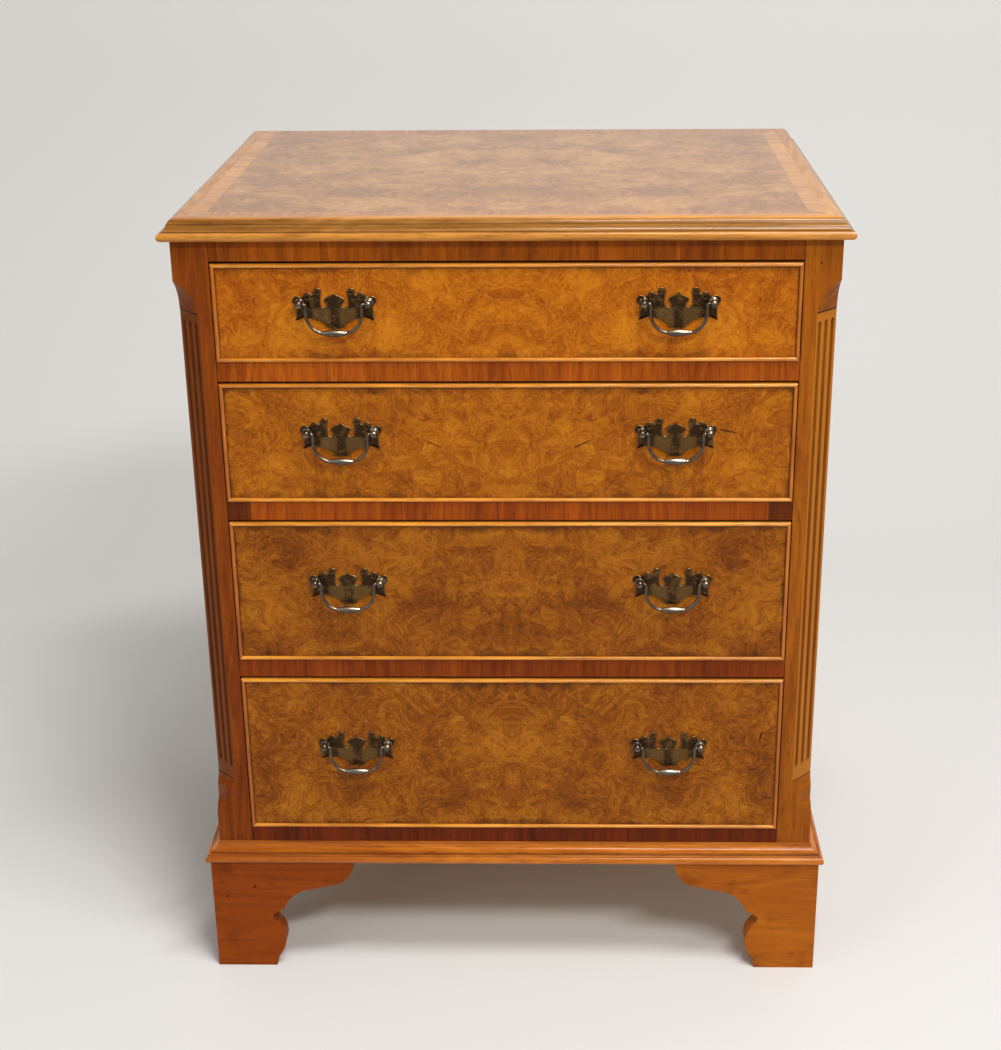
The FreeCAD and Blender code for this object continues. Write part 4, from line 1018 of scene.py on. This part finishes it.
mesh = bmesh.new()
mesh.from_mesh(drilled)
bmesh.ops.remove_doubles(mesh, verts=mesh.verts, dist=0.01 * MM)
mesh.from_mesh(nut.data)
mesh.to_mesh(post.data)
mesh.free()
post.data.shade_smooth()
post.data.set_sharp_from_angle(angle=radians(35))
# Painted highlight on the top of the balls and necks.
paint_top_highlight(post.data, lambda place: 0.6 if place.y < 9 * MM else 0)
for number in DRAWERS:
    body, level, middles = handles(number)
    marks = [(x + end * BORING / 2 * MM, POST_FRONT - PIVOT_REACH * MM, level, pi if end < 0 else 0)
             for x in middles for end in (-1, 1)]
    posts = set_out(f"{body}_turned_posts", marks, post, rubbed)
    fit(posts, f"{body}_handle_posts", body)
for pattern in (post, drill, nut):
    bpy.data.objects.remove(pattern)


# -------------------------------- bails
# Drop handles bent from drawn brass wire, forged thicker for a swelled grip. Their turned-out
# ends sit in the balls. The grip takes more painted highlight than the arms.

WIRE, GRIP, PIVOT = 1.6, 3.55, 1.2           # radii of the arms, of the grip and of the ends
GRIP_HALF, ARM, SHOULDER = 11.6, 25.6, 27.5  # out to the grip's end, the arm and its bend
DROP = 27.4                                  # from the pivots down to the grip
# The middle of the wire, from its right end: (out, level, bulge to the next corner).
HALF_BAIL = [(31, 0), (27.8, 0, 0.414), (ARM, -2.2), (ARM, -9.5, -0.333), (12.4, -26.9),
             (GRIP_HALF, -27.1, -0.02), (0, -DROP)]


def bail_tree():
    """A wire along a path, swelled at its middle and thinner at its ends."""
    tree = bpy.data.node_groups.new("bent_bail", "GeometryNodeTree")
    tree.interface.new_socket("Path", in_out="INPUT", socket_type="NodeSocketGeometry")
    for name in ("Wire", "Grip", "Half grip", "Pivot", "Shoulder"):
        tree.interface.new_socket(name, in_out="INPUT", socket_type="NodeSocketFloat")
    tree.interface.new_socket("Finish", in_out="INPUT", socket_type="NodeSocketMaterial")
    tree.interface.new_socket("Bail", in_out="OUTPUT", socket_type="NodeSocketGeometry")
    given = tree.nodes.new("NodeGroupInput").outputs
    place = add(tree, "GeometryNodeInputPosition").outputs[0]
    out = calc(tree, "ABSOLUTE", split(tree, place)[0])
    near = fade(tree, out, 0.0, given["Half grip"], 1, 0, "LINEAR")
    swell = calc(tree, "MULTIPLY", near, calc(tree, "SUBTRACT", 2.0, near))
    thicker = calc(tree, "SUBTRACT", given["Grip"], given["Wire"])
    thick = calc(tree, "MULTIPLY_ADD", swell, thicker, given["Wire"])
    at_end = calc(tree, "GREATER_THAN", out, given["Shoulder"])
    thinner = calc(tree, "SUBTRACT", given["Pivot"], given["Wire"])
    radius = calc(tree, "MULTIPLY_ADD", at_end, thinner, thick)
    section = add(tree, "GeometryNodeCurvePrimitiveCircle", {
        "Resolution": 24, "Radius": 1.0}).outputs[0]
    wire = add(tree, "GeometryNodeCurveToMesh", {
        "Curve": given["Path"], "Profile Curve": section, "Scale": radius,
        "Fill Caps": True}).outputs[0]
    finished = add(tree, "GeometryNodeSetMaterial", {
        "Geometry": wire, "Material": given["Finish"]}).outputs[0]
    plug(tree.nodes.new("NodeGroupOutput"), {"Bail": finished})
    return tree


half = outline([(x * MM, z * MM, *bulge) for x, z, *bulge in HALF_BAIL], 10)
half = half[:half.index((0, -DROP * MM)) + 1]
steps = []
for (x, z), (x1, z1) in zip(half, half[1:]):
    parts = 6 if x < GRIP_HALF * MM else 1
    steps += [(x + (x1 - x) * i / parts, z + (z1 - z) * i / parts) for i in range(parts)]
path = steps + [half[-1]] + [(-x, z) for x, z in steps[::-1]]
curve = bpy.data.curves.new("bail_path", "CURVE")
curve.dimensions = "3D"
spline = curve.splines.new("POLY")
spline.points.add(len(path) - 1)
for point, (x, z) in zip(spline.points, path):
    point.co = (x, 0, z, 1)
bail_data = grown("bail", curve, bail_tree(), wire=WIRE * MM, grip=GRIP * MM,
                  half_grip=GRIP_HALF * MM, pivot=PIVOT * MM, shoulder=SHOULDER * MM,
                  finish=rubbed)
bail_data.shade_smooth()
bail_data.set_sharp_from_angle(angle=radians(50))
# Painted highlight on the top of the bail, strongest on the grip.
paint_top_highlight(bail_data, lambda place: 0.9 if abs(place.x) < GRIP_HALF * MM else 0.45)

for number in DRAWERS:
    body, level, middles = handles(number)
    for side, x in zip(("left", "right"), middles):
        data = bail_data.copy()
        data.transform(Matrix.Translation((x, POST_FRONT - PIVOT_REACH * MM, level)))
        bail = new_object(f"{body}_bent_bail_{side}", data)
        fit(bail, f"{body}_bail_{side}", f"{body}_bail_{side}")
